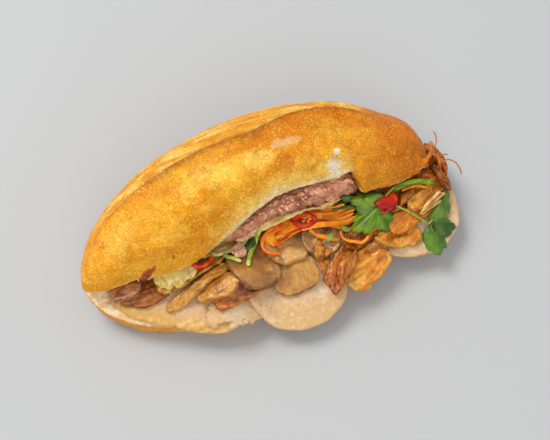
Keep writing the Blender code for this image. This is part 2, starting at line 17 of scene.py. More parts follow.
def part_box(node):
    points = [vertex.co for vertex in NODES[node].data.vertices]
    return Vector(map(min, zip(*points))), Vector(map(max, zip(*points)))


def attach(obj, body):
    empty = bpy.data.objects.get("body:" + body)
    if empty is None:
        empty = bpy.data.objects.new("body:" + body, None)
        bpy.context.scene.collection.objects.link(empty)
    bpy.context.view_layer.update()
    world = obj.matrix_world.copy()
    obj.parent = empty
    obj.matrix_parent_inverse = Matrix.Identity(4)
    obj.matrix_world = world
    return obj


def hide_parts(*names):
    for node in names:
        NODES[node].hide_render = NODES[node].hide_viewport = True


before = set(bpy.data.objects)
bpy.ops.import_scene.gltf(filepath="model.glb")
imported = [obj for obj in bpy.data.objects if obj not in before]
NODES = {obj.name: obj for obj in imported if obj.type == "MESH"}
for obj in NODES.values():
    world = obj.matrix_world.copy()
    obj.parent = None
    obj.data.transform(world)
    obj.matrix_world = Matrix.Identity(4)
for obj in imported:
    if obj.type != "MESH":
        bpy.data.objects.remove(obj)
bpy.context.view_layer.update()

MM = 0.001
COARSE = 1.0

# The roll, as its solid has it
ROLL_MIDDLE, ROLL_HALF, ROLL_FRONT = -8.5, 100.5, -41.8
AXIS_Y, AXIS_TURN = 5.5, 5.5
TIP_HEIGHT, CROWN_HEIGHT, WAIST_HEIGHT = 20.0, 66.0, 30.0
FLOOR_HEIGHT, HINGE_HEIGHT = 12.5, 21.5
BACK_REACH, BACK_SKEW, FRONT_REACH = 55.5, 0.08, 46.0
LIP_REACH, LIP_SAG, HINGE_REACH, PRESS_BACK = 15.5, 2.2, 32.0, 14.0
SLASH_ANGLE, SLASH_WANDER, SLASH_FALL = 70.0, 6.0, 4.0
LIP_BINS, LIP_START = 240, -120.0     # the places, a millimetre apart, where the lip's height is found
FAR = 99.0                            # how far from the lip all that isn't near it counts as
ABOVE_ALL = 90.0                      # a height over everything, where rays that look for a top start

# The view
CAMERA_AIM = (1.42, 8.18, 12.24)
CAMERA_AZIMUTH, CAMERA_ELEVATION, CAMERA_DISTANCE = -19.18, 61.59, 522.4
SENSOR_WIDTH, LENS = 36.0, 61.2
CLIP_START, CLIP_END = 0.01, 10.0     # in metres

# The stage, in metres and watts
FLOOR_HALF, FLOOR_COLOUR, FLOOR_ROUGHNESS = 3.0, (0.48, 0.48, 0.475, 1), 0.8
SKY_COLOUR, SKY_STRENGTH = (0.95, 0.97, 1.0, 1), 0.62
LIGHTS = (
    # name, place, width, power
    ("key", (-0.85, 1.15, 2.0), 1.3, 41.5),
    ("fill", (-0.4, -1.5, 1.2), 1.4, 11.5),
)

# How a solid's facets are rounded off
SHARP_ANGLE = 0.7                     # an edge that bends by more radians is sharp
CAGE_ROUNDS, CAGE_STEP = 3, 0.7       # how often the cage is corrected, and by what share of its error

WARM_GLOSS = (1.0, 0.86, 0.66, 1.0)             # the tint of a food's shine
MIX_FIRST, MIX_SECOND, MIX_RESULT = 6, 7, 2     # the colour sockets of a mix node

# The datum, found from where the roll's solid lies in the shared frame
ROLL_BOX = [np.array(corner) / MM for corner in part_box("bread_roll")]
DATUM = np.array([(ROLL_BOX[0][0] + ROLL_BOX[1][0]) / 2 - ROLL_MIDDLE, ROLL_BOX[0][1] - ROLL_FRONT, 0.0])


def srgb(red, green, blue):
    """A linear colour from the 0 to 255 values of a screen."""
    value = np.array([red, green, blue]) / 255
    return np.where(value <= 0.04045, value / 12.92, ((value + 0.055) / 1.055) ** 2.4)


# --- numbers


def smoothstep(low, high, value):
    """From 0 at low to 1 at high, eased at both ends."""
    share = np.clip((value - low) / (high - low), 0.0, 1.0)
    return share * share * (3 - 2 * share)


def mixed(first, second, share):
    """Rows of colour between two, each of which is one colour or one row a point."""
    share = np.asarray(share, float)[..., None]
    return np.asarray(first) * (1 - share) + np.asarray(second) * share


def turned(u, v, angle):
    """Coordinates in a plane, turned by an angle in radians."""
    cos, sin = math.cos(angle), math.sin(angle)
    return u * cos - v * sin, u * sin + v * cos


def layered(colour, *layers):
    """A colour with others laid over it in turn, each given as 0 to 255 values and its share."""
    for shade, share in layers:
        colour = mixed(colour, srgb(*shade), share)
    return colour


def lattice(cell, seed):
    """A repeatable random number from 0 to 1 for each lattice point."""
    value = cell[..., 0] * 374761393 + cell[..., 1] * 668265263
    value = value + cell[..., 2] * 1442695041 + seed * 974634777
    value = value & 0xFFFFFFFF
    value = ((value ^ (value >> 13)) * 1274126177) & 0xFFFFFFFF
    value = ((value ^ (value >> 15)) * 2246822519) & 0xFFFFFFFF
    return ((value ^ (value >> 16)) & 0xFFFF) / 65535.0


def noise(points, size, seed):
    """Smooth noise from -1 to 1, whose features are about this size."""
    place = np.asarray(points) / np.asarray(size, float) + 1000.0
    cell = np.floor(place).astype(np.int64)
    t = place - cell
    t = t * t * t * (t * (t * 6 - 15) + 10)
    total = np.zeros(len(place))
    for corner in range(8):
        step = np.array([corner & 1, corner >> 1 & 1, corner >> 2 & 1])
        weight = np.prod(np.where(step, t, 1 - t), axis=1)
        total += weight * lattice(cell + step, seed)
    return 2 * total - 1


def fractal(points, size, seed, octaves=3):
    """Noise with finer noise on it."""
    size = np.asarray(size, float)
    total, weight = np.zeros(len(points)), 0.0
    for octave in range(octaves):
        total += 0.5 ** octave * noise(points, size / 2 ** octave, seed + 31 * octave)
        weight += 0.5 ** octave
    return total / weight * 1.4


def ridged(points, size, seed, octaves=2):
    """Noise from 0 to 1 that makes sharp crests."""
    size = np.asarray(size, float)
    total, weight = np.zeros(len(points)), 0.0
    for octave in range(octaves):
        total += 0.5 ** octave * (1 - np.abs(noise(points, size / 2 ** octave, seed + 17 * octave)))
        weight += 0.5 ** octave
    return total / weight


def cells(points, size, seed):
    """Distance to the nearest of scattered points, in cells, and that point's random number."""
    place = np.asarray(points) / size + 1000.0
    cell = np.floor(place).astype(np.int64)
    nearest = np.full(len(place), 9.0)
    label = np.zeros(len(place))
    for i in (-1, 0, 1):
        for j in (-1, 0, 1):
            for k in (-1, 0, 1):
                other = cell + np.array([i, j, k])
                at = other + np.stack([lattice(other, seed + s) for s in (1, 2, 3)], axis=1)
                away = np.sqrt(((place - at) ** 2).sum(axis=1))
                closer = away < nearest
                nearest = np.where(closer, away, nearest)
                label = np.where(closer, lattice(other, seed + 4), label)
    return nearest, label


# --- meshes


def corners_of(mesh):
    flat = np.empty(len(mesh.vertices) * 3)
    mesh.vertices.foreach_get("co", flat)
    return flat.reshape(-1, 3)


class Form:
    """A fine closed mesh, as arrays."""

    def __init__(self, mesh):
        self.mesh = mesh
        self.points = corners_of(mesh) / MM - DATUM
        mesh.calc_loop_triangles()
        corners = np.empty(len(mesh.loop_triangles) * 3, np.int32)
        mesh.loop_triangles.foreach_get("vertices", corners)
        self.triangles = corners.reshape(-1, 3)
        ends = np.empty(len(mesh.edges) * 2, np.int32)
        mesh.edges.foreach_get("vertices", ends)
        self.edges = ends.reshape(-1, 2)
        self.degree = np.maximum(np.bincount(ends, minlength=len(self.points)), 1)

    def normals(self):
        a, b, c = (self.points[self.triangles[:, i]] for i in range(3))
        across = np.cross(b - a, c - a)
        total = np.zeros_like(self.points)
        for axis in range(3):
            for corner in range(3):
                total[:, axis] += np.bincount(self.triangles[:, corner], across[:, axis], len(self.points))
        return total / np.maximum(np.linalg.norm(total, axis=1), 1e-9)[:, None]

    def averaged(self, values):
        """Each point's mean of its neighbours' values."""
        values = values.reshape(len(self.points), -1)
        out = np.empty_like(values)
        a, b = self.edges[:, 0], self.edges[:, 1]
        for column in range(values.shape[1]):
            one = values[:, column]
            out[:, column] = np.bincount(a, one[b], len(one)) + np.bincount(b, one[a], len(one))
        return out / self.degree[:, None]

    def spread(self, values, rounds):
        for _ in range(rounds):
            values = 0.5 * values + 0.5 * self.averaged(values)[:, 0]
        return values

    def relax(self, rounds):
        """Smooths without shrinking."""
        for _ in range(rounds):
            for weight in (0.5, -0.52):
                self.points += weight * (self.averaged(self.points) - self.points)

    def push(self, amount):
        """Moves each point outwards along its normal."""
        self.points += self.normals() * np.asarray(amount)[:, None]


def evaluated(obj):
    """The mesh that an object's modifiers make."""
    bpy.context.view_layer.update()
    graph = bpy.context.evaluated_depsgraph_get()
    return bpy.data.meshes.new_from_object(obj.evaluated_get(graph))


def refined(node, voxel, rounds=4, crease=0.0):
    """A fine copy of a CAD node, its facets rounded off without drawing its corners in.

    rounds is how often it is smoothed, and crease keeps its sharp edges from 0, fully rounded, to 1.
    """
    mesh = NODES[node].data.copy()
    shape = bmesh.new()
    shape.from_mesh(mesh)
    bmesh.ops.remove_doubles(shape, verts=shape.verts, dist=1e-5)
    bmesh.ops.join_triangles(
        shape, faces=shape.faces, angle_face_threshold=SHARP_ANGLE, angle_shape_threshold=1.2)
    if crease:
        layer = shape.edges.layers.float.new("crease_edge")
        for edge in shape.edges:
            edge[layer] = crease if edge.calc_face_angle(0.0) > SHARP_ANGLE else 0.0
    shape.to_mesh(mesh)
    shape.free()
    obj = bpy.data.objects.new("rough", mesh)
    bpy.context.scene.collection.objects.link(obj)
    rounder = obj.modifiers.new("rounder", "SUBSURF")
    rounder.levels = rounder.render_levels = 2
    wanted = corners_of(mesh)
    cage = wanted.copy()
    for _ in range(CAGE_ROUNDS):
        reached = corners_of(evaluated(obj))[:len(cage)]
        cage += CAGE_STEP * (wanted - reached)
        mesh.vertices.foreach_set("co", cage.ravel())
        mesh.update()
    remesher = obj.modifiers.new("remesher", "REMESH")
    remesher.mode = "VOXEL"
    remesher.voxel_size = voxel * COARSE * MM
    made = evaluated(obj)
    bpy.data.objects.remove(obj, do_unlink=True)
    form = Form(made)
    form.relax(rounds)
    return form


def placed(name, mesh, material, nodes):
    """Puts a finished mesh on the body, in place of the nodes that it stands for."""
    mesh.materials.clear()
    mesh.materials.append(material)
    mesh.polygons.foreach_set("use_smooth", [True] * len(mesh.polygons))
    mesh.update()
    obj = bpy.data.objects.new(name, mesh)
    bpy.context.scene.collection.objects.link(obj)
    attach(obj, "root")
    if nodes:
        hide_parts(*nodes)


def finished(form, name, nodes, material, colours, mask=None, grain=None):
    """Makes a piece of a form, with a colour, a mask and grain coordinates at each point."""
    form.mesh.vertices.foreach_set("co", ((form.points + DATUM) * MM).ravel())
    painted(form.mesh, colours, form.points if grain is None else grain, mask)
    placed(name, form.mesh, material, nodes)


def painted(mesh, colours, grain, mask=None):
    """Gives a mesh its colours, with the mask as their alpha, and its grain coordinates."""
    rgba = np.ones((len(mesh.vertices), 4))
    rgba[:, :3] = np.clip(colours, 0, 1)
    if mask is not None:
        rgba[:, 3] = mask
    layer = mesh.color_attributes.new(name="tint", type="FLOAT_COLOR", domain="POINT")
    layer.data.foreach_set("color", rgba.ravel())
    lines = mesh.attributes.new("grain", "FLOAT_VECTOR", "POINT")
    lines.data.foreach_set("vector", np.asarray(grain, float).ravel())


def built(name, parts, material, nodes=()):
    """Makes one piece of several bodies, each given as points, faces, colours and grain."""
    points, faces, colours, grains = [], [], [], []
    start = 0
    for body, sides, tint, grain in parts:
        points.append(body)
        faces += [tuple(i + start for i in side) for side in sides]
        colours.append(np.broadcast_to(tint, (len(body), 3)))
        grains.append(body if grain is None else grain)
        start += len(body)
    mesh = bpy.data.meshes.new(name)
    mesh.from_pydata(((np.concatenate(points) + DATUM) * MM).tolist(), [], faces)
    mesh.update()
    painted(mesh, np.concatenate(colours), np.concatenate(grains))
    placed(name, mesh, material, nodes)


# --- materials


class Graph:
    """A material's nodes, made by short calls."""

    def __init__(self, name):
        self.material = bpy.data.materials.new(name)
        self.material.use_nodes = True
        self.tree = self.material.node_tree
        self.shader = self.tree.nodes["Principled BSDF"]

    def node(self, kind, **settings):
        node = self.tree.nodes.new(kind)
        for name, value in settings.items():
            setattr(node, name, value)
        return node

    def link(self, source, target):
        self.tree.links.new(source, target)

    def place(self, stretch=None):
        """Coordinates in millimetres: where a point is, or along and across its grain."""
        if stretch is None:
            source = self.node("ShaderNodeTexCoord").outputs["Object"]
            factor = (1 / MM,) * 3
        else:
            source = self.node("ShaderNodeAttribute", attribute_name="grain").outputs["Vector"]
            factor = stretch
        return self.scaled(source, factor)

    def noise(self, size, detail=3.0, stretch=None, rough=0.55):
        texture = self.node("ShaderNodeTexNoise")
        self.link(self.place(stretch), texture.inputs["Vector"])
        texture.inputs["Scale"].default_value = 1 / size
        texture.inputs["Detail"].default_value = detail
        texture.inputs["Roughness"].default_value = rough
        return texture.outputs["Fac"]

    def spots(self, size):
        texture = self.node("ShaderNodeTexVoronoi")
        self.link(self.place(), texture.inputs["Vector"])
        texture.inputs["Scale"].default_value = 1 / size
        return texture.outputs["Distance"]

    def ranged(self, value, from_low, from_high, to_low, to_high):
        node = self.node("ShaderNodeMapRange")
        self.link(value, node.inputs["Value"])
        node.inputs["From Min"].default_value = from_low
        node.inputs["From Max"].default_value = from_high
        node.inputs["To Min"].default_value = to_low
        node.inputs["To Max"].default_value = to_high
        return node.outputs["Result"]

    def scaled(self, source, factors, offset=(0.0, 0.0, 0.0)):
        """A vector or colour times fixed factors, with a fixed offset added."""
        node = self.node("ShaderNodeVectorMath", operation="MULTIPLY_ADD")
        self.link(source, node.inputs[0])
        node.inputs[1].default_value = factors
        node.inputs[2].default_value = offset
        return node.outputs[0]

    def times(self, colour, factor):
        """A colour made lighter or darker by a number."""
        node = self.node("ShaderNodeVectorMath", operation="SCALE")
        self.link(colour, node.inputs[0])
        self.link(factor, node.inputs["Scale"])
        return node.outputs[0]

    def blend(self, first, second, share):
        node = self.node("ShaderNodeMix", data_type="RGBA")
        self.link(share, node.inputs["Factor"])
        self.link(first, node.inputs[MIX_FIRST])
        self.link(second, node.inputs[MIX_SECOND])
        return node.outputs[MIX_RESULT]

    def number(self, operation, first, second):
        """Two numbers taken together, the second of which may be fixed."""
        node = self.node("ShaderNodeMath", operation=operation)
        self.link(first, node.inputs[0])
        if isinstance(second, float):
            node.inputs[1].default_value = second
        else:
            self.link(second, node.inputs[1])
        return node.outputs[0]

    def bump(self, height, depth, below=None):
        node = self.node("ShaderNodeBump")
        node.inputs["Strength"].default_value = 1.0
        node.inputs["Distance"].default_value = depth * MM
        self.link(height, node.inputs["Height"])
        if below is not None:
            self.link(below, node.inputs["Normal"])
        return node.outputs["Normal"]

    def settle(self, values):
        """Fixes some of the shader's inputs."""
        for name, value in values.items():
            self.shader.inputs[name].default_value = value


def food(name, rough, rough_spread=0.1, mottle=(), bumps=(), coat=0.0, coat_rough=0.15, inside=0.0,
         radius=(1.0, 0.4, 0.2), depth=1.5, specular=0.5):
    """A food's surface: its points' colour, mottled, with fine relief and an uneven gloss.

    mottle holds (size, amount, stretch) and bumps (size, depth, stretch), where stretch runs along the
    grain or is None. inside is how much light passes under the surface, and depth how far.
    """
    graph = Graph(name)
    shader = graph.shader
    colour = graph.node("ShaderNodeAttribute", attribute_name="tint").outputs["Color"]
    for size, amount, stretch in mottle:
        value = graph.ranged(graph.noise(size, 4.0, stretch), 0.3, 0.7, 1 - amount, 1 + amount)
        colour = graph.times(colour, value)
    graph.link(colour, shader.inputs["Base Color"])
    smoothest = max(rough - rough_spread, 0.02)
    graph.link(graph.ranged(graph.noise(3.0), 0.3, 0.7, smoothest, rough + rough_spread),
               shader.inputs["Roughness"])
    normal = None
    for size, height, stretch in bumps:
        normal = graph.bump(graph.noise(size, 3.0, stretch), height, normal)
    if normal is not None:
        graph.link(normal, shader.inputs["Normal"])
    graph.settle({
        "Specular IOR Level": specular, "Specular Tint": WARM_GLOSS,
        "Coat Weight": coat, "Coat Roughness": coat_rough,
        "Subsurface Weight": inside, "Subsurface Radius": radius, "Subsurface Scale": depth * MM,
    })
    return graph.material


ALONG, FINE_ALONG = (0.12, 1, 1), (0.10, 1, 1)     # a texture that is drawn out along the grain
FOODS = {
    "pork_roll": dict(
        rough=0.46, mottle=((2.5, 0.07, None), (0.8, 0.07, None)),
        bumps=((1.4, 0.14, None), (0.6, 0.07, None)), coat=0.06, coat_rough=0.3, inside=0.12,
        radius=(1.0, 0.55, 0.35), depth=1.6, specular=0.35),
    "roast_pork": dict(
        rough=0.34, rough_spread=0.14, mottle=((1.5, 0.16, ALONG), (3.0, 0.08, None)),
        bumps=((1.0, 0.22, FINE_ALONG), (0.8, 0.10, None)), coat=0.25, coat_rough=0.22, inside=0.06,
        depth=1.2, specular=0.4),
    "roast_pork_slices": dict(
        rough=0.36, rough_spread=0.14,
        mottle=((0.8, 0.17, (0.14, 1, 1)), (2.4, 0.12, None), (0.7, 0.06, None)),
        bumps=((0.9, 0.14, ALONG), (0.9, 0.10, None)), coat=0.25, coat_rough=0.25, inside=0.08,
        depth=1.2, specular=0.4),
    "roast_pork_glazed": dict(
        rough=0.30, rough_spread=0.14, mottle=((1.2, 0.12, ALONG), (2.2, 0.10, None)),
        bumps=((1.0, 0.14, FINE_ALONG), (1.8, 0.30, None)), coat=0.45, coat_rough=0.14, inside=0.06,
        depth=1.2, specular=0.4),
    "pate": dict(
        rough=0.58, rough_spread=0.12, mottle=((1.2, 0.12, None),),
        bumps=((1.0, 0.25, None), (0.5, 0.1, None)), coat=0.05, coat_rough=0.35, inside=0.05,
        specular=0.3),
    "cucumber": dict(
        rough=0.25, mottle=((1.5, 0.08, None),), bumps=((1.2, 0.10, None),), coat=0.25, coat_rough=0.12,
        inside=0.20, radius=(0.9, 1.0, 0.3), depth=2.0, specular=0.4),
    "chilli": dict(
        rough=0.3, rough_spread=0.08, mottle=((1.5, 0.08, None),), coat=0.2, coat_rough=0.12, inside=0.05,
        specular=0.4),
    "chilli_seeds": dict(
        rough=0.42, rough_spread=0.08, mottle=((0.8, 0.08, None),), coat=0.04, coat_rough=0.2, specular=0.4),
    "herbs": dict(
        rough=0.36, mottle=((1.6, 0.12, FINE_ALONG),), bumps=((0.8, 0.06, (0.05, 1, 1)),), coat=0.1,
        inside=0.06, radius=(0.5, 1.0, 0.2), specular=0.35),
    "carrot": dict(
        rough=0.28, mottle=((0.8, 0.10, ALONG),), bumps=((0.6, 0.06, (0.08, 1, 1)),), coat=0.15,
        coat_rough=0.12, inside=0.08, radius=(1.0, 0.45, 0.1), depth=1.2, specular=0.3),
    "coriander": dict(
        rough=0.38, mottle=((1.4, 0.14, None),), bumps=((0.9, 0.12, None),), coat=0.2, coat_rough=0.22,
        inside=0.04, radius=(0.4, 1.0, 0.1), specular=0.4),
    "crisp_shreds": dict(
        rough=0.45, mottle=((1.0, 0.15, None),), bumps=((0.8, 0.1, None),), specular=0.35),
}


def bread_material():
    """Crust where the mask is 1, with pale blisters, partly painted glints, and dark flecks, and plain crumb
    where it is 0.
    """
    graph = Graph("bread")
    shader = graph.shader
    tint = graph.node("ShaderNodeAttribute", attribute_name="tint")
    colour, mask = tint.outputs["Color"], tint.outputs["Alpha"]
    for size, detail, darkest, lightest in ((5.0, 4.0, 0.82, 1.14), (0.8, 3.0, 0.82, 1.16)):
        colour = graph.times(colour, graph.ranged(graph.noise(size, detail), 0.3, 0.7, darkest, lightest))
    patches = graph.ranged(graph.noise(6.5), 0.38, 0.56, 0.25, 1.0)
    flecks = graph.ranged(graph.noise(1.25, 2.0, rough=0.4), 0.55, 0.63, 0.0, 1.0)
    spots = graph.ranged(graph.spots(1.7), 0.22, 0.40, 1.0, 0.0)
    # Pale specks on the crust: partly blisters, partly painted glints of light
    blisters_and_glints = graph.number("MAXIMUM", flecks, spots)
    pale = graph.number("MULTIPLY", graph.number("MULTIPLY", blisters_and_glints, patches), mask)
    lighter = graph.scaled(colour, (1.0, 1.2, 1.7), (0.13, 0.12, 0.03))
    colour = graph.blend(colour, lighter, graph.number("MULTIPLY", pale, 0.9))
    dark = graph.ranged(graph.noise(1.5, 2.0), 0.42, 0.34, 0.0, 1.0)
    darker = graph.scaled(colour, (0.80, 0.68, 0.5))
    colour = graph.blend(colour, darker, graph.number("MULTIPLY", graph.number("MULTIPLY", dark, mask), 0.7))
    graph.link(colour, shader.inputs["Base Color"])
    shine = graph.ranged(graph.noise(2.2, 4.0), 0.3, 0.7, 0.34, 0.54)
    dull = graph.ranged(mask, 0.0, 1.0, 0.35, 0.0)
    graph.link(graph.number("ADD", shine, dull), shader.inputs["Roughness"])
    normal = graph.bump(graph.noise(3.0), 0.6)
    normal = graph.bump(blisters_and_glints, 0.14, normal)
    normal = graph.bump(graph.noise(0.8), 0.22, normal)
    graph.link(normal, shader.inputs["Normal"])
    graph.settle({
        "Specular IOR Level": 0.22, "Specular Tint": WARM_GLOSS,
        "Subsurface Weight": 0.05, "Subsurface Radius": (1.0, 0.5, 0.2), "Subsurface Scale": 1.2 * MM,
    })
    return graph.material


# --- bread


def sections(x):
    """The roll's section sizes at these places along it, as its solid has them."""
    t = np.clip((x - ROLL_MIDDLE) / ROLL_HALF, -0.999, 0.999)
    full = np.maximum(1 - np.abs(t) ** 2.5, 0) ** 0.52
    axis = AXIS_Y + AXIS_TURN * t
    pressed = smoothstep(-54, 6, x) * (1 - 0.86 * smoothstep(44.0, 47.4, x))
    pressed = pressed * (1 - 0.12 * smoothstep(8, 44, x)) * (1 - smoothstep(50, 72, x))
    skewed = np.abs(t - BACK_SKEW * (1 - t * t))
    lip = axis - LIP_REACH * full ** 0.5
    sag = LIP_SAG * smoothstep(-86, -70, x) * (1 - smoothstep(-60, -38, x))
    back = axis + BACK_REACH * np.maximum(1 - skewed ** 2.1, 0) ** 0.58
    slash_rise = SLASH_WANDER * np.exp(-((x + 8) / 16) ** 2) - SLASH_FALL * smoothstep(8, 26, x)
    return {
        "back": back,
        "front": axis - FRONT_REACH * np.maximum(1 - np.abs(t) ** 2.3, 0) ** 0.56,
        "lip_y": lip + PRESS_BACK * pressed - 0.8 * sag,
        "floor_z": TIP_HEIGHT + (FLOOR_HEIGHT - TIP_HEIGHT) * full ** 0.4,
        "hinge_y": axis + HINGE_REACH * full ** 1.2,
        "hinge_z": TIP_HEIGHT + (HINGE_HEIGHT - TIP_HEIGHT) * full,
        "crown_y": lip + 0.42 * (back - lip) + 5 * smoothstep(-70, 8, x) * full ** 2,
        "crown_z": TIP_HEIGHT + (CROWN_HEIGHT - TIP_HEIGHT) * full ** 0.9,
        "waist_z": TIP_HEIGHT + (WAIST_HEIGHT - TIP_HEIGHT) * full,
        "slash": SLASH_ANGLE + slash_rise,
    }


def patch(points, centre, radii, seed):
    """From 1 inside an uneven patch of the plan to 0 outside it."""
    away = np.hypot((points[:, 0] - centre[0]) / radii[0], (points[:, 1] - centre[1]) / radii[1])
    return smoothstep(1.25, 0.6, away + 0.5 * fractal(points, 4.0, seed))


def cut_face(form, at):
    """How much each point of the roll is crumb, and how high the cut's floor is at its place."""
    _, y, z = form.points.T
    facing = form.normals()[:, 2]
    deep = np.clip((y - at["front"]) / np.maximum(at["hinge_y"] - at["front"], 1), 0, 1)
    cut_z = at["floor_z"] + (at["hinge_z"] - at["floor_z"]) * deep
    inside = y < at["hinge_y"] + 2
    on_floor = (facing > 0.55) & (np.abs(z - cut_z) < 3.2) & inside
    under = (facing < -0.25) & (z > cut_z + 1.2) & (y > at["lip_y"] - 1.5) & inside
    return form.spread((on_floor | under).astype(float), 2), cut_z


def slash_marks(points, at):
    """The slash's parts, from 0 to 1: an ear, a groove below it, a torn band, and the shoulder above."""
    x, y, z = points.T
    turn = np.degrees(np.arctan2(
        np.maximum(z - at["waist_z"], 0) / np.maximum(at["crown_z"] - at["waist_z"], 1),
        np.maximum(y - at["crown_y"], 0) / np.maximum(at["back"] - at["crown_y"], 1),
    ))
    wander = 1.6 * noise(np.stack([x, 0 * x, 0 * x], axis=1), 13.0, 5)
    past = np.where((y > at["crown_y"]) & (z > at["waist_z"]), turn, 200.0) - at["slash"] - wander
    along = smoothstep(-101, -84, x) * (1 - smoothstep(54, 68, x))
    return {
        "ear": along * np.exp(-((past - 1.5) / 3.0) ** 2),
        "groove": along * np.exp(-((past + 2.5) / 3.0) ** 2),
        "band": along * smoothstep(0, -2, past),
        "shoulder": along * smoothstep(0, 3, past) * smoothstep(46, 6, past),
    }


def from_lip(points, cut_z, at):
    """How far each point of the crust near the mouth is from the lip over it."""
    x, y, z = points.T
    above = (z > cut_z + 2.5) & (y < at["crown_y"])
    low_z = np.full(LIP_BINS, np.nan)
    bins = np.clip((x - LIP_START).astype(int), 0, LIP_BINS - 1)
    for index in range(LIP_BINS):
        here = above & (bins == index) & (np.abs(y - at["lip_y"]) < 3.0)
        if here.any():
            low_z[index] = z[here].min()
    found = ~np.isnan(low_z)
    lip_z = np.interp(x, np.arange(LIP_BINS)[found] + LIP_START + 0.5, low_z[found])
    away = np.hypot(np.maximum(at["lip_y"] + 1 - y, 0), z - lip_z)
    return np.where(above & (y < at["lip_y"] + 12), away, FAR)


def bread_marks(form, at):
    """What lies where on the roll: a value for each point, under each mark's name."""
    crumb, cut_z = cut_face(form, at)
    return {
        "crumb": crumb,
        "near_lip": from_lip(form.points, cut_z, at),
        "lines": fractal(form.points, (26.0, 2.2, 2.2), 13, 2),
        "frayed": fractal(form.points, 3.0, 15, 3),
        **slash_marks(form.points, at),
    }


def bread_relief(form, marks):
    """An uneven crust with an ear over its slash, a frayed lip and porous crumb, above a flat base."""
    points = form.points
    x, y, z = points.T
    crumb, near_lip = marks["crumb"], marks["near_lip"]
    crust = fractal(points, 16.0, 11, 3) * 0.45 + fractal(points, 5.0, 12, 2) * 0.16
    crust = crust + 0.7 * marks["ear"] - 0.9 * marks["groove"] + 0.42 * marks["band"] * marks["lines"]
    crust = crust + smoothstep(12, 3, near_lip) * marks["frayed"]
    pores = ridged(points, 2.2, 14) - 0.6
    amount = (1 - crumb) * crust + crumb * (0.9 * pores)
    amount -= 1.2 * smoothstep(-60, -20, x) * smoothstep(76, 44, x) * smoothstep(44, 60, z)
    amount += 3.2 * smoothstep(70, 84, x) * smoothstep(4, 18, y) * smoothstep(6, 16, z)
    form.push(amount * smoothstep(0.3, 2.5, z))
    corner = smoothstep(41, 46, x) * smoothstep(64, 50, x) * smoothstep(9, 1, near_lip)
    form.points += corner[:, None] * (0.0, 0.9, 2.4)
    form.points[:, 2] = np.maximum(form.points[:, 2], 0.0)


GOLD, DEEP_GOLD, BROWN, AMBER = (244, 176, 42), (230, 148, 20), (204, 102, 4), (204, 112, 4)
PALE, CREAM, FLOUR = (252, 204, 96), (254, 230, 168), (248, 230, 196)
CRUST_PATCHES = (
    # middle and half sizes in the plan, colour, share, seed
    ((12.5, 23.0), (8.0, 3.0), (246, 208, 146), 0.45, 31),
    ((34.7, 6.8), (4.2, 3.6), FLOUR, 0.9, 33),
    ((36.9, 12.2), (1.4, 1.4), FLOUR, 0.9, 34),
    ((-3.8, 17), (9, 6), PALE, 0.5, 35),
    ((8, 14.5), (4.5, 5), (196, 106, 8), 0.6, 36),
    ((-30, 16), (16, 7), PALE, 0.3, 37),
    ((-84, 2), (9, 7), PALE, 0.25, 38),
    ((-60.1, -11.5), (0.5, 0.5), (110, 64, 10), 0.9, 39),
)


def crust_colour(points, at, marks):
    """Gold, browner to the right and along the slash, and pale by the lip over the mouth."""
    x, y, z = points.T
    ear, groove, band, shoulder = (marks[name] for name in ("ear", "groove", "band", "shoulder"))
    lines, frayed, near_lip = (marks[name] for name in ("lines", "frayed", "near_lip"))
    right = smoothstep(24, 74, x + 10 * fractal(points, 20.0, 22, 2))
    crown = smoothstep(-22, 10, x) * smoothstep(56, 66, z) * (1 - right)
    clouds = fractal(points, (9.0, 6.0, 6.0), 25, 3)
    open_part = smoothstep(-48, -18, x) * (1 - smoothstep(40, 47, x))
    shut_part = (1 - open_part) * smoothstep(10, -20, x)
    uneven = 2.6 * fractal(points, 7.0, 23, 3) + 1.2 * frayed
    colour = layered(
        srgb(*GOLD),
        (DEEP_GOLD, smoothstep(-0.35, 0.55, fractal(points, 22.0, 21, 3))),
        (BROWN, 0.9 * right),
        ((250, 190, 66), 0.5 * smoothstep(0.05, 0.6, clouds) * (1 - right)),
        ((226, 140, 14), 0.55 * smoothstep(-40, -88, x)),
        ((206, 122, 16), 0.6 * smoothstep(30, 12, z) * smoothstep(-46, -70, x)),
        (AMBER, 0.35 * smoothstep(-0.1, -0.6, clouds)),
        (AMBER, 0.9 * shoulder * smoothstep(-70, -6, x) * (0.75 + 0.5 * clouds)),
        (AMBER, 0.6 * crown * (1 - band)),
        ((232, 158, 40), 0.85 * band * (1 - 0.5 * right)),
        ((246, 196, 96), 0.75 * band * smoothstep(0.0, 0.6, lines)),
        ((206, 118, 22), 0.6 * band * smoothstep(0.0, 0.6, -lines)),
        ((150, 72, 8), 0.75 * ear * (0.4 + 0.6 * smoothstep(-80, -40, x))),
        # painted shade in the groove under the ear
        ((140, 70, 10), 0.7 * groove),
        ((180, 108, 30), 0.5 * smoothstep(22, 4, z) * (y > at["front"] + 6)),
        ((222, 156, 60), 0.6 * smoothstep(18, 6, z) * (y <= at["front"] + 8)),
        (PALE, 0.85 * smoothstep(18, 7, near_lip + uneven) * open_part),
        (CREAM, 0.8 * smoothstep(8.5, 3.5, near_lip + 0.9 * uneven) * open_part),
        ((206, 150, 70), 0.6 * smoothstep(2.4, 0.8, near_lip + 0.5 * frayed) * open_part),
        (PALE, 0.35 * smoothstep(3.0, 0.6, near_lip) * shut_part),
    )
    for centre, radii, shade, share, seed in CRUST_PATCHES:
        there = patch(points, centre, radii, seed) * (z > 30)
        colour = layered(colour, (shade, share * there * (1 - marks["crumb"])))
    return colour


def crumb_colour(points):
    """Cream, and browner at the left end of the floor."""
    left_end = smoothstep(-86, -66, points[:, 0]) * smoothstep(-18, -30, points[:, 1])
    return layered(
        srgb(254, 230, 186),
        ((242, 200, 138), smoothstep(-0.2, 0.5, fractal(points, 3.0, 24, 3))),
        ((226, 172, 84), 0.7 * left_end),
    )


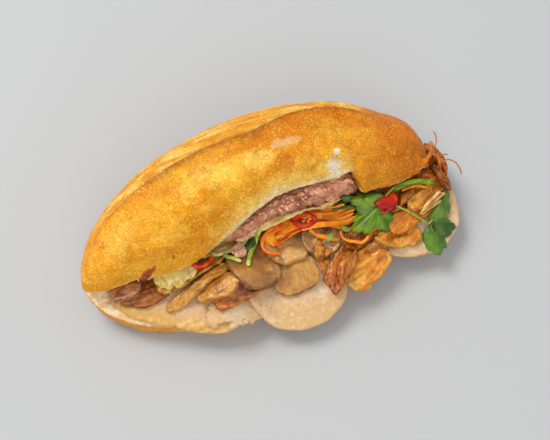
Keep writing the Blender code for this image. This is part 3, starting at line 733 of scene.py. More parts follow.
def bread():
    """The roll: its crust, and the crumb that its mouth shows."""
    form = refined("bread_roll", voxel=1.0, rounds=10)
    at = sections(form.points[:, 0])
    marks = bread_marks(form, at)
    bread_relief(form, marks)
    colour = mixed(crust_colour(form.points, at, marks), crumb_colour(form.points), marks["crumb"])
    finished(form, "crust_and_crumb", ["bread_roll"], bread_material(), colour,
             mask=1 - marks["crumb"])


# --- filling


def laid_frame(points):
    """Along, across and through coordinates of a flat piece, its long side first, and the directions."""
    middle = points.mean(axis=0)
    _, axes = np.linalg.eigh(np.cov((points - middle).T))
    through = axes[:, 0] * (1 if axes[2, 0] > 0 else -1)
    along = axes[:, 2] * (1 if axes[0, 2] > 0 else -1)
    across = np.cross(through, along)
    return (points - middle) @ np.stack([along, across, through], axis=1), (along, across, through)


def way_out(local):
    """How far out each point lies in its direction, from 0 at the middle to 1 at the rim."""
    angle = np.arctan2(local[:, 1], local[:, 0])
    away = np.hypot(local[:, 0], local[:, 1])
    count = 72
    index = ((angle + math.pi) / (2 * math.pi) * count).astype(int) % count
    reach = np.zeros(count)
    np.maximum.at(reach, index, away)
    reach = (np.roll(reach, 1) + 2 * reach + np.roll(reach, -1)) / 4
    at = (angle + math.pi) / (2 * math.pi) * count - 0.5
    low = np.floor(at).astype(int)
    here = reach[low % count] * (1 - (at - low)) + reach[(low + 1) % count] * (at - low)
    return away / np.maximum(here, 1e-6), angle


def torn(form, depth, size, seed):
    """Pulls a flat piece's rim in by uneven amounts, so that it looks torn.

    Returns its coordinates from before, their directions, and how far out each point lies.
    """
    local, axes = laid_frame(form.points)
    share, angle = way_out(local)
    inward = -(np.cos(angle)[:, None] * axes[0] + np.sin(angle)[:, None] * axes[1])
    rim = smoothstep(0.72, 1.0, share)
    jag = np.clip(fractal(form.points, size, seed, 3), 0, 1)
    form.points += inward * (depth * rim * jag)[:, None]
    return local, axes, share


PORK_ROLL_SLICES = (
    # which slice, how deep its rim is torn, the tears' size, pinkness, yellowness
    ("left", 1.6, 5.0, 0.9, 0.9),
    ("torn", 8.0, 4.6, 0.2, 0.35),
    ("middle", 0.5, 7.0, 0.5, 0.25),
    ("right", 0.15, 4.0, 0.45, 0.15),
)


def fringed(points, seed):
    """Draws the front of the right slice back to a fringed edge."""
    x, y, _ = points.T
    fringe = fractal(points, (1.6, 30.0, 2.0), seed, 2) * smoothstep(76, 60, x)
    limit = -38.6 + 1.6 * fringe + 0.03 * np.maximum(x - 78, 0) ** 2
    points[:, 1] = np.where(x > 44, np.maximum(y, limit), y)


def pork_roll_slices(material):
    """Pale slices with pits, pale grains and dark specks; the left one has a striped front."""
    for number, (side, depth, size, pinkness, yellowness) in enumerate(PORK_ROLL_SLICES):
        node = f"pork_roll_slice_{side}"
        form = refined(node, voxel=0.62, crease=0.6)
        seed = 100 + 10 * number
        local, _, share = torn(form, depth, size, seed)
        points = form.points
        if side == "right":
            fringed(points, seed + 6)
        pits, label = cells(points, 3.4, seed + 1)
        pit = smoothstep(0.20, 0.10, pits) * (label > 0.62)
        fine = 0.10 * fractal(points, 1.7, seed + 5, 2)
        form.push(0.3 * fractal(points, 9.0, seed + 2, 3) - 0.3 * pit + fine)
        tone = fractal(points, 13.0, seed + 3, 3)
        yellow = 0.9 * yellowness * smoothstep(0.35, 0.85, share + 0.1 * tone)
        stripes = fractal(points, (26.0, 1.7, 1.7), seed + 8, 2)
        striped = 0.6 * (side == "left") * smoothstep(0.55, 0.85, share) * smoothstep(-30, -38, points[:, 1])
        grains = fractal(points, 1.5, seed + 9, 3)
        specks, speck_label = cells(points, 5.5, seed + 7)
        colour = layered(
            srgb(216, 190, 158),
            ((208, 172, 126), smoothstep(-0.5, 0.7, tone + 0.6 * yellowness)),
            ((224, 178, 140), pinkness * smoothstep(0.9, 0.2, share) * 0.7),
            ((218, 164, 70), yellow),
            ((240, 202, 112), striped * smoothstep(0.0, 0.5, stripes)),
            ((192, 134, 60), striped * smoothstep(0.0, 0.5, -stripes)),
            ((240, 214, 180), 0.35 * smoothstep(0.1, 0.8, grains)),
            ((206, 156, 116), 0.3 * smoothstep(0.1, 0.8, -grains)),
            ((205, 150, 84), 0.18 * smoothstep(0.95, 1.0, share)),
            # the pits are painted darker, as painted shade in them
            ((150, 100, 58), 0.45 * pit),
            ((112, 70, 40), 0.8 * smoothstep(0.11, 0.06, specks) * (speck_label > 0.7)),
        )
        finished(form, f"sausage_{side}", [node], material, colour, grain=local)


SMOOTH_MEATS = ("loin", "browned", "lined")
GLOSSY_MEATS = ("caramel", "amber", "fatty")
TEAR_DEPTHS = {"fatty": 3.2, "glazed": 2.2, "caramel": 2.2, "amber": 2.2}     # and 1.2 for the others
SHEARED_PIECE = "roast_pork_05"
MEATS = {
    # lean, deep, fat, browned rim, also the colour of the painted shade at the front; fibre's length and
    # width; relief; share of fat; how far the rim browns and darkens
    "loin": ((194, 142, 72), (156, 100, 48), (216, 170, 94), (120, 66, 32),
             (12.0, 1.3), 0.03, 0.35, 0.75),
    "browned": ((172, 118, 62), (130, 82, 48), (204, 148, 76), (98, 52, 28),
                (12.0, 1.3), 0.03, 0.30, 0.8),
    "amber": ((212, 116, 12), (168, 76, 2), (232, 160, 52), (104, 44, 6),
              (26.0, 3.0), 0.16, 0.35, 0.6),
    "lined": ((202, 152, 88), (150, 98, 50), (226, 184, 116), (140, 86, 34),
              (16.0, 0.9), 0.10, 0.35, 0.4),
    "striped": ((202, 148, 90), (136, 82, 46), (232, 188, 128), (90, 48, 24),
                (20.0, 1.6), 0.22, 0.6, 0.6),
    "strip": ((206, 140, 48), (158, 90, 20), (234, 186, 96), (118, 58, 10),
              (18.0, 1.5), 0.34, 0.45, 0.4),
    "chunk": ((200, 134, 56), (156, 94, 34), (222, 170, 92), (116, 62, 18),
              (10.0, 2.0), 0.34, 0.45, 0.5),
    "glazed": ((186, 92, 18), (112, 44, 6), (224, 150, 60), (72, 28, 4),
               (12.0, 1.5), 0.42, 0.40, 0.6),
    "caramel": ((222, 138, 34), (182, 94, 12), (240, 184, 80), (112, 50, 8),
                (26.0, 3.0), 0.16, 0.40, 0.6),
    "fatty": ((214, 128, 26), (168, 80, 8), (246, 190, 74), (140, 72, 10),
              (14.0, 2.4), 0.32, 0.6, 0.4),
    "dark": ((162, 82, 20), (92, 40, 8), (208, 130, 50), (58, 24, 6),
             (10.0, 1.6), 0.42, 0.30, 0.7),
    "ham": ((178, 104, 56), (126, 62, 30), (216, 168, 116), (92, 42, 16),
            (18.0, 1.6), 0.22, 0.55, 0.4),
}

ROAST_PIECES = (
    # kind, and how many degrees the fibre turns from the piece's long side
    ("glazed", 0), ("fatty", 0), ("glazed", 4), ("dark", 0), ("chunk", 20), ("strip", 0), ("caramel", 30),
    ("loin", 78), ("browned", 8), ("lined", 84), ("dark", 20), ("dark", 0), ("striped", 12), ("strip", 0),
    ("ham", 0), ("amber", 4), ("caramel", 0), ("glazed", 0), ("glazed", 0), ("shreds", 0), ("dark", 0),
)


def shape_meat(form, node, kind, seed):
    """Tears a piece's rim and takes its evenness away. Returns its coordinates and how far out they are."""
    flat, (along, across, through), share = torn(form, TEAR_DEPTHS.get(kind, 1.2), 3.4, seed)
    if kind in GLOSSY_MEATS:
        wave = np.sin(0.62 * flat[:, 1] + 1.6 * noise(flat, 9.0, seed + 14) + 0.12 * flat[:, 0])
        form.points += through * (0.75 * wave * smoothstep(1.0, 0.6, share))[:, None]
    if node == SHEARED_PIECE:
        form.points += along * (0.30 * flat[:, 0])[:, None] + across * (0.22 * flat[:, 1])[:, None]
    if kind not in SMOOTH_MEATS:
        skew = 0.35 * (seed % 3 - 1) + 0.12
        form.points += along * (skew * flat[:, 1] * smoothstep(0.2, 1.0, share))[:, None]
    return flat, share


def meat(node, name, kind, turn, seed, material):
    """One piece of roast pork, with fibre, sinews, streaks of fat and a browned rim, with painted shade
    darkening it towards the front.
    """
    lean, dark, fat, rim, (long, fine), depth, fatness, browned = MEATS[kind]
    plain = kind in SMOOTH_MEATS
    form = refined(node, voxel=0.5, rounds=2, crease=0.8)
    flat, share = shape_meat(form, node, kind, seed)
    local = np.stack([*turned(flat[:, 0], flat[:, 1], -math.radians(turn)), flat[:, 2]], axis=1)
    points = form.points
    fibre = fractal(local + 0.8 * noise(local, 7.0, seed + 9)[:, None], (long, fine, fine), seed + 1, 3)
    sinew = smoothstep(0.84, 0.99, ridged(local, (long * 1.6, 3.4, 9.0), seed + 2, 1))
    if plain:
        sinew = 0.1 * sinew
    lumps = fractal(points, 6.0, seed + 3, 2)
    form.push(depth * fibre + 0.24 * lumps - 0.22 * sinew + 0.8 * depth * fractal(points, 1.7, seed + 10, 2))
    _, lobe = cells(points + 1.5 * lumps[:, None], 11.0, seed + 11)
    tone = min(3.2 * depth, 0.7) * fibre + 0.6 * fractal(points, 7.0, seed + 4, 3) + 0.8 * (lobe - 0.5)
    marbling = smoothstep(0.66, 0.92, ridged(local, (long * 0.9, 3.6, 3.6), seed + 5, 2))
    streaked = 0.3 if kind in ("loin", "browned") else 1
    uneven = share + 0.06 * fractal(points, 4.0, seed + 8, 2)
    inner_fat = np.exp(-((uneven - 0.90) / 0.05) ** 2)
    # The rim is browned all round and darker still towards the front: browning, with painted shade under the
    # front edge
    from_middle = points - points.mean(axis=0)
    to_back = np.sin(np.arctan2(from_middle[:, 1], from_middle[:, 0]))
    browned_rim_and_front_shade = browned * (0.35 + 0.65 * smoothstep(0.2, -0.5, to_back))
    colour = layered(
        srgb(*lean),
        (dark, smoothstep(-0.25, 0.8, tone)),
        (fat, fatness * marbling * streaked),
        (fat, 0.8 * fatness * smoothstep(0.15, 0.7, fractal(points, 9.0, seed + 6, 2))),
        (dark, 0.5 * sinew),
        (fat, 0.5 * inner_fat * fatness),
        (rim, browned_rim_and_front_shade * smoothstep(0.90 if plain else 0.94, 1.0, uneven)),
    )
    if plain:
        cloudy = fractal(points, 8.0, seed + 13, 3)
        last = (((208, 146, 58), 0.5, cloudy), ((138, 90, 66), 0.4, -cloudy))
    else:
        crisp = fractal(local, (4.0, 1.0, 1.0), seed + 12, 2)
        last = ((rim, 0.35, crisp), (fat, 0.3, -crisp))
    for shade, most, spread in last:
        colour = layered(colour, (shade, most * smoothstep(0.1, 0.7 if plain else 0.8, spread)))
    finished(form, name, [node], material, colour, grain=local)


def roast_pork(fibrous, smooth, glossy):
    """Slices with fibre along or across them, chunks and strips, and one bundle of shreds."""
    for number, (kind, turn) in enumerate(ROAST_PIECES, 1):
        node, name = f"roast_pork_{number:02d}", f"roast_{number:02d}"
        material = fibrous
        if kind in SMOOTH_MEATS + ("ham",):
            material = smooth
        if kind in GLOSSY_MEATS:
            material = glossy
        if kind == "shreds":
            pale_shreds(node, name, material)
        else:
            meat(node, name, kind, turn, 200 + 7 * number, material)


def pale_shreds(node, name, material):
    """A few thin pale shreds side by side, where the solid has one strip."""
    low, high = (np.array(c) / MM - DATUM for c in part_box(node))
    heap = Heights([node, "roast_pork_16", "roast_pork_17", "pork_roll_slice_right"])
    middle = (low + high) / 2
    along = np.array([high[0] - low[0], high[1] - low[1]])
    length = np.linalg.norm(along)
    along /= length
    across = np.array([-along[1], along[0]])
    rng = random.Random(77)
    parts = []
    for row in (-1.2, 0.1, 1.3):
        bow, reach = rng.uniform(-0.8, 0.8), rng.uniform(0.44, 0.54)
        knots = []
        for share in np.linspace(-1, 1, 7):
            aside = row * (1 + 0.5 * share) + bow * share * share
            x, y = middle[:2] + along * length * reach * share + across * aside
            knots.append((x, y, heap.at(x, y, middle[2]) + 0.2))
        width = rng.uniform(1.5, 2.3)
        points, faces, grain = strand(curve_through(knots, 30), width, 1.3, sides=10, blunt=0.5)
        tone = smoothstep(-0.5, 0.7, fractal(points, 4.0, 210, 3))
        parts.append((points, faces, layered(srgb(240, 198, 122), ((206, 150, 74), tone)), grain))
    built(name, parts, material, [node])


def roast_scraps(material):
    """Torn scraps of pork in the dip between the slices and the chunks."""
    below = ["roast_pork_01", "roast_pork_08", "roast_pork_13", "roast_pork_12", "pork_roll_slice_middle"]
    heap = Heights(below)
    rng = random.Random(78)
    parts = []
    for number in range(8):
        x, y = 15.6 + rng.uniform(-1.0, 1.4), -24.5 - 1.9 * number
        heading = rng.uniform(1.0, 1.9)
        knots = []
        for step in range(6):
            knots.append((x, y, heap.at(x, y, 12.0) + 0.3 + 0.4 * math.sin(step + number)))
            x += 1.6 * math.cos(heading)
            y += 1.6 * math.sin(heading)
            heading += rng.uniform(-0.4, 0.4)
        width, height, twist = rng.uniform(2.6, 4.0), rng.uniform(1.2, 1.8), rng.uniform(-0.8, 0.8)
        path = curve_through(knots, 24)
        points, faces, grain = strand(path, width, height, sides=10, blunt=0.6, twist=twist)
        tone = smoothstep(-0.5, 0.7, fractal(points, 2.2, 240 + number, 3))
        deep = layered(srgb(140, 76, 22), ((96, 50, 20), rng.random()))
        parts.append((points, faces, mixed(srgb(200, 126, 42), deep, tone), grain))
    built("roast_scraps", parts, material)


def pate(material):
    """Coarse lumps, with painted shade in the creases, and darker along the middle of the band."""
    for node, name, voxel, seed, scale in (
        ("pate", "spread", 0.5, 400, 1.0),
        ("pate_lump", "spread_lump", 0.4, 410, 0.7),
    ):
        band = node == "pate"
        form = refined(node, voxel, rounds=3)
        points = form.points
        front = 1.0
        if band:
            front = smoothstep(7, -1, points[:, 1] - sections(points[:, 0])["lip_y"])
        warp = np.stack([fractal(points, 3.4, seed + s, 3) for s in (5, 6, 7)], axis=1)
        warped = (points + 2.2 * warp) * (0.72, 1.0, 1.0)
        chunk, label = cells(warped, 4.4, seed)
        crumbs, small_label = cells(warped, 1.9, seed + 20)
        lift = 1.5 * smoothstep(0.75, 0.15, chunk) - 0.8 + 0.45 * smoothstep(0.75, 0.2, crumbs) - 0.2
        lift += 0.9 * (label - 0.5) + 0.5 * fractal(points, 6.0, seed + 1, 3)
        form.push(scale * front * lift)
        tone = fractal(points, 6.0, seed + 2, 3) + 0.8 * (label - 0.5)
        middle = band * smoothstep(-24, -6, points[:, 0]) * smoothstep(34, 14, points[:, 0])
        streaks = fractal(points, (14.0, 2.4, 2.4), seed + 3, 3)
        colour = layered(
            srgb(240, 176, 138),
            ((196, 126, 98), smoothstep(-0.6, 0.6, tone)),
            ((240, 190, 138), 0.55 * smoothstep(0.4, 1.0, small_label)),
            ((246, 198, 160), 0.0 if band else 0.4),
            ((140, 80, 54), (0.34 + 0.5 * smoothstep(0.0, 0.6, streaks)) * middle),
            # painted shade in the creases between the lumps
            ((120, 66, 50), 0.5 * smoothstep(0.55, 0.85, chunk) * front),
        )
        finished(form, name, [node], material, colour)


def cucumbers(material):
    """Thin frilled slices, wet and pale: the first has rind on one side, and the second a trace of it."""
    rows = (
        # node, which way the rind lies across the piece, where it starts, flesh, how frilled the edge is
        ("cucumber_slice_1", 1, 0.46, (234, 202, 112), 1.6),
        ("cucumber_slice_2", 1, 0.9, (232, 222, 138), 0.7),
        ("cucumber_slice_3", 0, 9.0, (240, 206, 128), 0.4),
    )
    for number, (node, side, start, flesh, frill) in enumerate(rows):
        form = refined(node, voxel=0.5, rounds=2)
        seed = 430 + 10 * number
        local, _, share = torn(form, 2.2 * frill + 0.3, 2.8, seed)
        waves = np.sin(local[:, 0] * 1.35 + 1.2 * noise(local, 5.0, seed + 4)) * smoothstep(0.35, 1.0, share)
        form.push(0.35 * fractal(form.points, 4.0, seed + 1, 3))
        form.points[:, 2] += 0.55 * frill * waves
        across = local[:, 1] / np.abs(local[:, 1]).max() * (side or 1)
        tone = fractal(form.points, (7.0, 2.4, 2.4), seed + 3, 3)
        to_rind = across + 0.12 * tone
        colour = layered(
            srgb(*flesh),
            ((190, 172, 62), smoothstep(-0.1, 0.8, tone) * 0.6),
            ((250, 240, 190), 0.6 * smoothstep(0.1, 0.6, -tone)),
            ((84, 112, 24), 0.9 * smoothstep(start, start + 0.25, to_rind)),
            ((36, 62, 14), smoothstep(start + 0.22, start + 0.4, to_rind)),
        )
        finished(form, "cucumber_" + node[-1], [node], material, colour, grain=local)


OPEN_RING, PLAIN_RING, BRIGHT_RING = 1, 2, 3


def chilli_rings(chilli, seed_material):
    """Red rings: one open with a pale membrane and seeds, one plain, and two whose hole is filled."""
    for number in (1, 2, 3, 4):
        node = f"chilli_ring_{number}"
        form = refined(node, voxel=0.36, rounds=3)
        middle = form.points.mean(axis=0)
        away = np.hypot(*(form.points - middle)[:, :2].T)
        form.push(0.42 * fractal(form.points, 3.4, 500 + number, 2))
        inner = (number == OPEN_RING) * smoothstep(np.median(away), np.median(away) * 0.80, away)
        tone = smoothstep(-0.2, 0.8, fractal(form.points, 3.0, 510 + number, 2))
        colour = layered(srgb(180, 12, 4), ((216, 44, 8), tone), ((214, 78, 26), 0.7 * inner))
        if number == PLAIN_RING:
            colour = layered(srgb(212, 34, 6), ((242, 92, 30), tone))
        finished(form, f"chilli_{number}", [node], chilli, colour)
        if number != PLAIN_RING:
            parts = ring_inside(number, form.points, middle)
            built(f"chilli_seeds_{number}", parts, seed_material)


def ring_inside(number, ring, middle):
    """What fills a ring of these points: a dark floor, and seeds on it or flesh over it."""
    low, high = ring.min(axis=0), ring.max(axis=0)
    half = (high - low) / 2 - 1.2
    floor = low[2] + 0.35 * (high[2] - low[2])
    sizes = (half[0] * 0.9, half[1] * 0.9, 0.6)
    points, faces = blob((middle[0], middle[1], floor), sizes, 0.3, 520 + number, rings=8)
    parts = [(points, faces, srgb(176, 32, 8), None)]
    if number != OPEN_RING:
        place, sizes = (middle[0], middle[1], high[2] - 0.8), (half[0] + 1.3, half[1] + 1.3, 1.3)
        points, faces = blob(place, sizes, 0.3, 530 + number, rings=10)
        # The flesh over the hole is painted lighter towards the back right and darker towards the front
        # left: painted light and shade
        shaded = smoothstep(-2.5, 3.0, points[:, 0] - middle[0] + points[:, 1] - middle[1])
        bright = (224, 48, 10) if number == BRIGHT_RING else (190, 22, 6)
        return parts + [(points, faces, layered(srgb(150, 10, 4), (bright, shaded)), None)]
    rng = random.Random(51)
    for k in range(4):
        turn = 2 * math.pi * k / 4 + rng.uniform(-0.6, 0.6)
        reach = rng.uniform(0.1, 0.65)
        x = middle[0] + half[0] * (0.15 + reach * math.cos(turn))
        y = middle[1] + half[1] * reach * math.sin(turn)
        place = (x, y, floor + rng.uniform(0.7, 1.2))
        points, faces = blob(place, (1.05, 0.7, 0.4), 0.12, 530 + 10 * number + k, rings=6, turn=turn)
        parts.append((points, faces, srgb(240, 150, 62), None))
    return parts


def ring_faces(first, second, sides):
    """The faces between two rings of points, given by where each ring starts."""
    return [(first + k, first + (k + 1) % sides, second + (k + 1) % sides, second + k) for k in range(sides)]


def fan_faces(centre, ring, sides):
    """The faces between a point and a ring of points."""
    return [(centre, ring + k, ring + (k + 1) % sides) for k in range(sides)]


def flipped(faces):
    return [tuple(reversed(side)) for side in faces]


def blob(centre, radii, uneven, seed, rings=7, turn=0.0):
    """A rounded lump's points and faces."""
    sides = rings * 2
    unit = [(0.0, 0.0, -1.0)]
    for i in range(1, rings):
        polar = math.pi * i / rings
        level = math.sin(polar)
        for k in range(sides):
            angle = 2 * math.pi * k / sides
            unit.append((level * math.cos(angle), level * math.sin(angle), -math.cos(polar)))
    unit = np.array(unit + [(0.0, 0.0, 1.0)])
    lumpy = 1 + uneven * fractal(unit + np.asarray(centre), 0.9, seed, 2)
    x, y, z = (unit * lumpy[:, None] * np.asarray(radii)).T
    points = np.stack([*turned(x, y, turn), z], axis=1)
    last, top = len(points) - 1, 1 + (rings - 2) * sides
    faces = flipped(fan_faces(0, 1, sides)) + fan_faces(last, top, sides)
    for i in range(rings - 2):
        faces += ring_faces(1 + i * sides, 1 + (i + 1) * sides, sides)
    return points + np.asarray(centre), faces


def carrot_shreds(material):
    """The four shreds that lie apart from the bundle, the first of them the deepest orange."""
    for number in (1, 2, 3, 4):
        node = f"carrot_shred_{number}"
        form = refined(node, voxel=0.36, rounds=3)
        form.push(0.14 * fractal(form.points, 2.4, 520 + number, 2))
        lit = 0.45 if number > 1 else 0.15
        colour = layered(carrot_colour(form.points, 530 + number), ((252, 172, 46), lit))
        finished(form, f"carrot_{number}", [node], material, colour)


def spring_onions(material):
    """Stems and a blade, lined along their length."""
    rows = (
        # which, dark green, light green
        ("stem_1", (58, 88, 14), (112, 142, 34)),
        ("stem_2", (48, 78, 14), (98, 128, 30)),
        ("blade", (60, 108, 10), (128, 164, 34)),
        ("pale_1", (150, 176, 50), (212, 216, 116)),
        ("pale_2", (90, 128, 30), (196, 208, 104)),
    )
    for number, (which, dark, light) in enumerate(rows):
        node = f"spring_onion_{which}"
        form = refined(node, voxel=0.34, rounds=3)
        local, _ = laid_frame(form.points)
        lines = fractal(local, (30.0, 0.9, 0.9), 550 + number, 2)
        form.push(0.10 * lines)
        tone = lines + 0.8 * fractal(form.points, 8.0, 560 + number, 2)
        colour = layered(srgb(*dark), (light, smoothstep(-0.5, 0.9, tone)))
        finished(form, f"onion_{which}", [node], material, colour, grain=local)


def carrot_colour(points, seed):
    tone = fractal(points, 3.5, seed, 3)
    return layered(
        srgb(248, 134, 4),
        ((220, 82, 0), smoothstep(-0.4, 0.7, tone)),
        ((255, 178, 44), 0.7 * smoothstep(0.1, 0.6, -tone)),
    )


# --- strands, leaves and other small things


class Heights:
    """The top of the solids below a place in the plan."""

    def __init__(self, names):
        points, faces = [], []
        for name in names:
            mesh = NODES[name].data
            start = len(points)
            points += [v.co / MM - Vector(DATUM) for v in mesh.vertices]
            faces += [[i + start for i in side.vertices] for side in mesh.polygons]
        self.tree = BVHTree.FromPolygons(points, faces)

    def at(self, x, y, missing):
        hit = self.tree.ray_cast(Vector((x, y, ABOVE_ALL)), Vector((0, 0, -1)))[0]
        return hit.z if hit is not None else missing


def curve_through(knots, count):
    """Points along a smooth curve through the knots."""
    knots = np.asarray(knots, float)
    ends = np.concatenate([[2 * knots[0] - knots[1]], knots, [2 * knots[-1] - knots[-2]]])
    found = []
    for t in np.linspace(0, len(knots) - 1 - 1e-9, count):
        i = int(t)
        s = t - i
        a, b, c, d = ends[i:i + 4]
        found.append(0.5 * (2 * b + (c - a) * s + (2 * a - 5 * b + 4 * c - d) * s * s
                            + (3 * b - a - 3 * c + d) * s ** 3))
    return np.array(found)


def strand(path, width, height, sides=8, square=2.6, blunt=0.75, twist=0.0):
    """A strand's points, faces and grain, of a rounded oblong section along a path."""
    path = np.asarray(path, float)
    count = len(path)
    ahead = np.gradient(path, axis=0)
    ahead /= np.maximum(np.linalg.norm(ahead, axis=1), 1e-9)[:, None]
    aside = np.cross(ahead, [0.0, 0.0, 1.0])
    weak = np.linalg.norm(aside, axis=1) < 0.05
    aside[weak] = (1.0, 0.0, 0.0)
    aside /= np.linalg.norm(aside, axis=1)[:, None]
    above = np.cross(aside, ahead)
    points, grain, faces = [], [], []
    run = np.concatenate([[0], np.cumsum(np.linalg.norm(np.diff(path, axis=0), axis=1))])
    for i in range(count):
        end = min(i, count - 1 - i) / max(count * 0.10, 1)
        swell = blunt + (1 - blunt) * min(end, 1) ** 0.5
        turn = twist * i / count
        for k in range(sides):
            angle = 2 * math.pi * k / sides + math.pi / sides
            c, s = math.cos(angle), math.sin(angle)
            u = math.copysign(abs(c) ** (2 / square), c) * width / 2 * swell
            v = math.copysign(abs(s) ** (2 / square), s) * height / 2 * swell
            u, v = turned(u, v, turn)
            points.append(path[i] + aside[i] * u + above[i] * v)
            grain.append((run[i], u, v))
    for i in range(1, count):
        faces += ring_faces(i * sides, (i - 1) * sides, sides)
    for i, step in ((0, -1), (count - 1, 1)):
        points.append(path[i] + ahead[i] * step * min(width, height) * 0.12)
        grain.append((run[i], 0, 0))
        cap = fan_faces(len(points) - 1, i * sides, sides)
        faces += cap if step < 0 else flipped(cap)
    return np.array(points), faces, np.array(grain)


def core_of(node, name, shade, shrink, material):
    """A heap's core, a little smaller than its solid."""
    form = refined(node, voxel=0.6, rounds=3)
    form.push(-shrink + 0.4 * fractal(form.points, 3.0, 600, 3))
    light = smoothstep(-0.6, 0.6, fractal(form.points, 2.5, 601, 3))
    colour = mixed(srgb(*shade) * 0.55, srgb(*shade), light)
    finished(form, name, [node], material, colour)


def carrot_heap(material):
    """A bundle of broad wavy shreds that draws together to the left."""
    # The core is painted the dark orange of the shade in the gaps between the strands: painted shade
    core_of("carrot_shreds", "carrot_core", (150, 56, 4), 1.9, material)
    heap = Heights(["carrot_shreds", "roast_pork_08", "roast_pork_10", "roast_pork_13", "roast_pork_12"])
    rng = random.Random(61)
    parts = []
    count = 17
    for number in range(count):
        row = (number * 5 % count) / (count - 1)
        right = np.array([rng.uniform(38, 45), -11.8 + 12.4 * row + rng.uniform(-0.8, 0.8)])
        left = np.array([rng.uniform(-8, -2), -10.0 + 4.0 * row + rng.uniform(-0.5, 0.5)])
        if number % 3 == 0:
            left = np.array([rng.uniform(6, 18), -11.0 + 9.0 * row])
        if number % 4 == 1:
            right[0] -= rng.uniform(6, 12)
        sway, phase, pace = rng.uniform(0.7, 1.6), rng.uniform(0, 2 * math.pi), rng.uniform(3.0, 5.5)
        if number in (4, 9, 14):
            right[1] += rng.choice((-3.5, 3.5))
        knots = []
        for share in np.linspace(0, 1, 9):
            x, y = left + (right - left) * share
            y += sway * math.sin(phase + pace * share) + 1.4 * math.sin(math.pi * share)
            hump = 0.8 * math.sin(2.1 * phase + 1.4 * pace * share) + (0.9 if number % 3 == 0 else -0.2)
            knots.append((x, y, heap.at(x, y, 24.0) + hump))
        if left[0] < -3.5:
            (x, y), z = left, knots[0][2]
            knots = [(x + 0.5, y - 7.0, z - 2.2), (x - 2.2, y - 3.4, z - 0.6)] + knots
        path = curve_through(knots, 44)
        width, height, twist = rng.uniform(2.2, 4.2), rng.uniform(1.0, 1.5), rng.uniform(-1.6, 1.6)
        points, faces, grain = strand(path, width, height, sides=14, square=3.2, twist=twist)
        colour = layered(
            carrot_colour(points, 620 + number),
            ((184, 58, 0), rng.uniform(0.0, 0.75) * (number % 2)),
            ((255, 172, 48), 0.3 * (number % 4 == 0)),
            ((255, 168, 48), 0.35 * smoothstep(8, 36, points[:, 0])),
        )
        parts.append((points, faces, colour, grain))
    built("carrot_strands", parts, material)


LOOSE_HAIRS = (
    # where a hair starts in the plan, and its moves from there
    ((98.5, 13.5), ((1.6, 2.6, 1.6), (2.4, 3.4, 1.4), (1.0, 3.6, 1.2), (-0.6, 2.8, 0.6))),
    ((98.0, 13.0), ((1.2, 2.2, 1.4), (0.6, 3.2, 1.0), (-1.2, 2.4, 0.6))),
    ((99.5, 10.5), ((3.6, 1.2, 0.6), (3.4, -0.6, -0.4))),
    ((100.0, 6.5), ((4.2, 1.0, 0.8), (4.0, -2.4, -1.0), (1.6, -4.2, -2.0), (-0.2, -3.0, -1.4))),
)


def crisp_heap(material):
    """Fried shreds in a tangle, a few of them long hairs that stand off it."""
    core_of("crisp_shreds", "crisp_core", (176, 92, 26), 0.7, material)
    heap = Heights(["crisp_shreds", "pork_roll_slice_right", "roast_pork_21", "roast_pork_19"])
    low, high = (np.array(c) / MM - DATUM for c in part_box("crisp_shreds"))
    rng = random.Random(71)
    parts = []
    for _ in range(84):
        x, y = rng.uniform(low[0] + 2, high[0] - 1), rng.uniform(low[1] + 1, high[1] - 1)
        heading, bend = rng.uniform(0, 2 * math.pi), rng.uniform(-0.5, 0.5)
        knots = []
        for _ in range(7):
            z = heap.at(x, y, 0.0)
            if z < 10:
                break
            knots.append((x, y, min(z + rng.uniform(-0.6, 1.6), high[2] + 0.6)))
            x += 2.2 * math.cos(heading)
            y += 2.2 * math.sin(heading)
            heading += bend + rng.uniform(-0.4, 0.4)
        if len(knots) < 3:
            continue
        size = rng.uniform(0.6, 1.7)
        points, faces, grain = strand(curve_through(knots, 18), size, size * 0.7, sides=6)
        parts.append((points, faces, layered(srgb(222, 134, 48), ((146, 66, 16), rng.random())), grain))
    for (x, y), moves in LOOSE_HAIRS:
        root = np.array([x, y, heap.at(x, y, 20.0) - 0.4])
        path = curve_through(np.cumsum([root, *moves], axis=0), 26)
        points, faces, grain = strand(path, 0.8, 0.6, sides=6, blunt=0.35)
        parts.append((points, faces, srgb(186, 118, 56), grain))
    built("crisp_strands", parts, material)


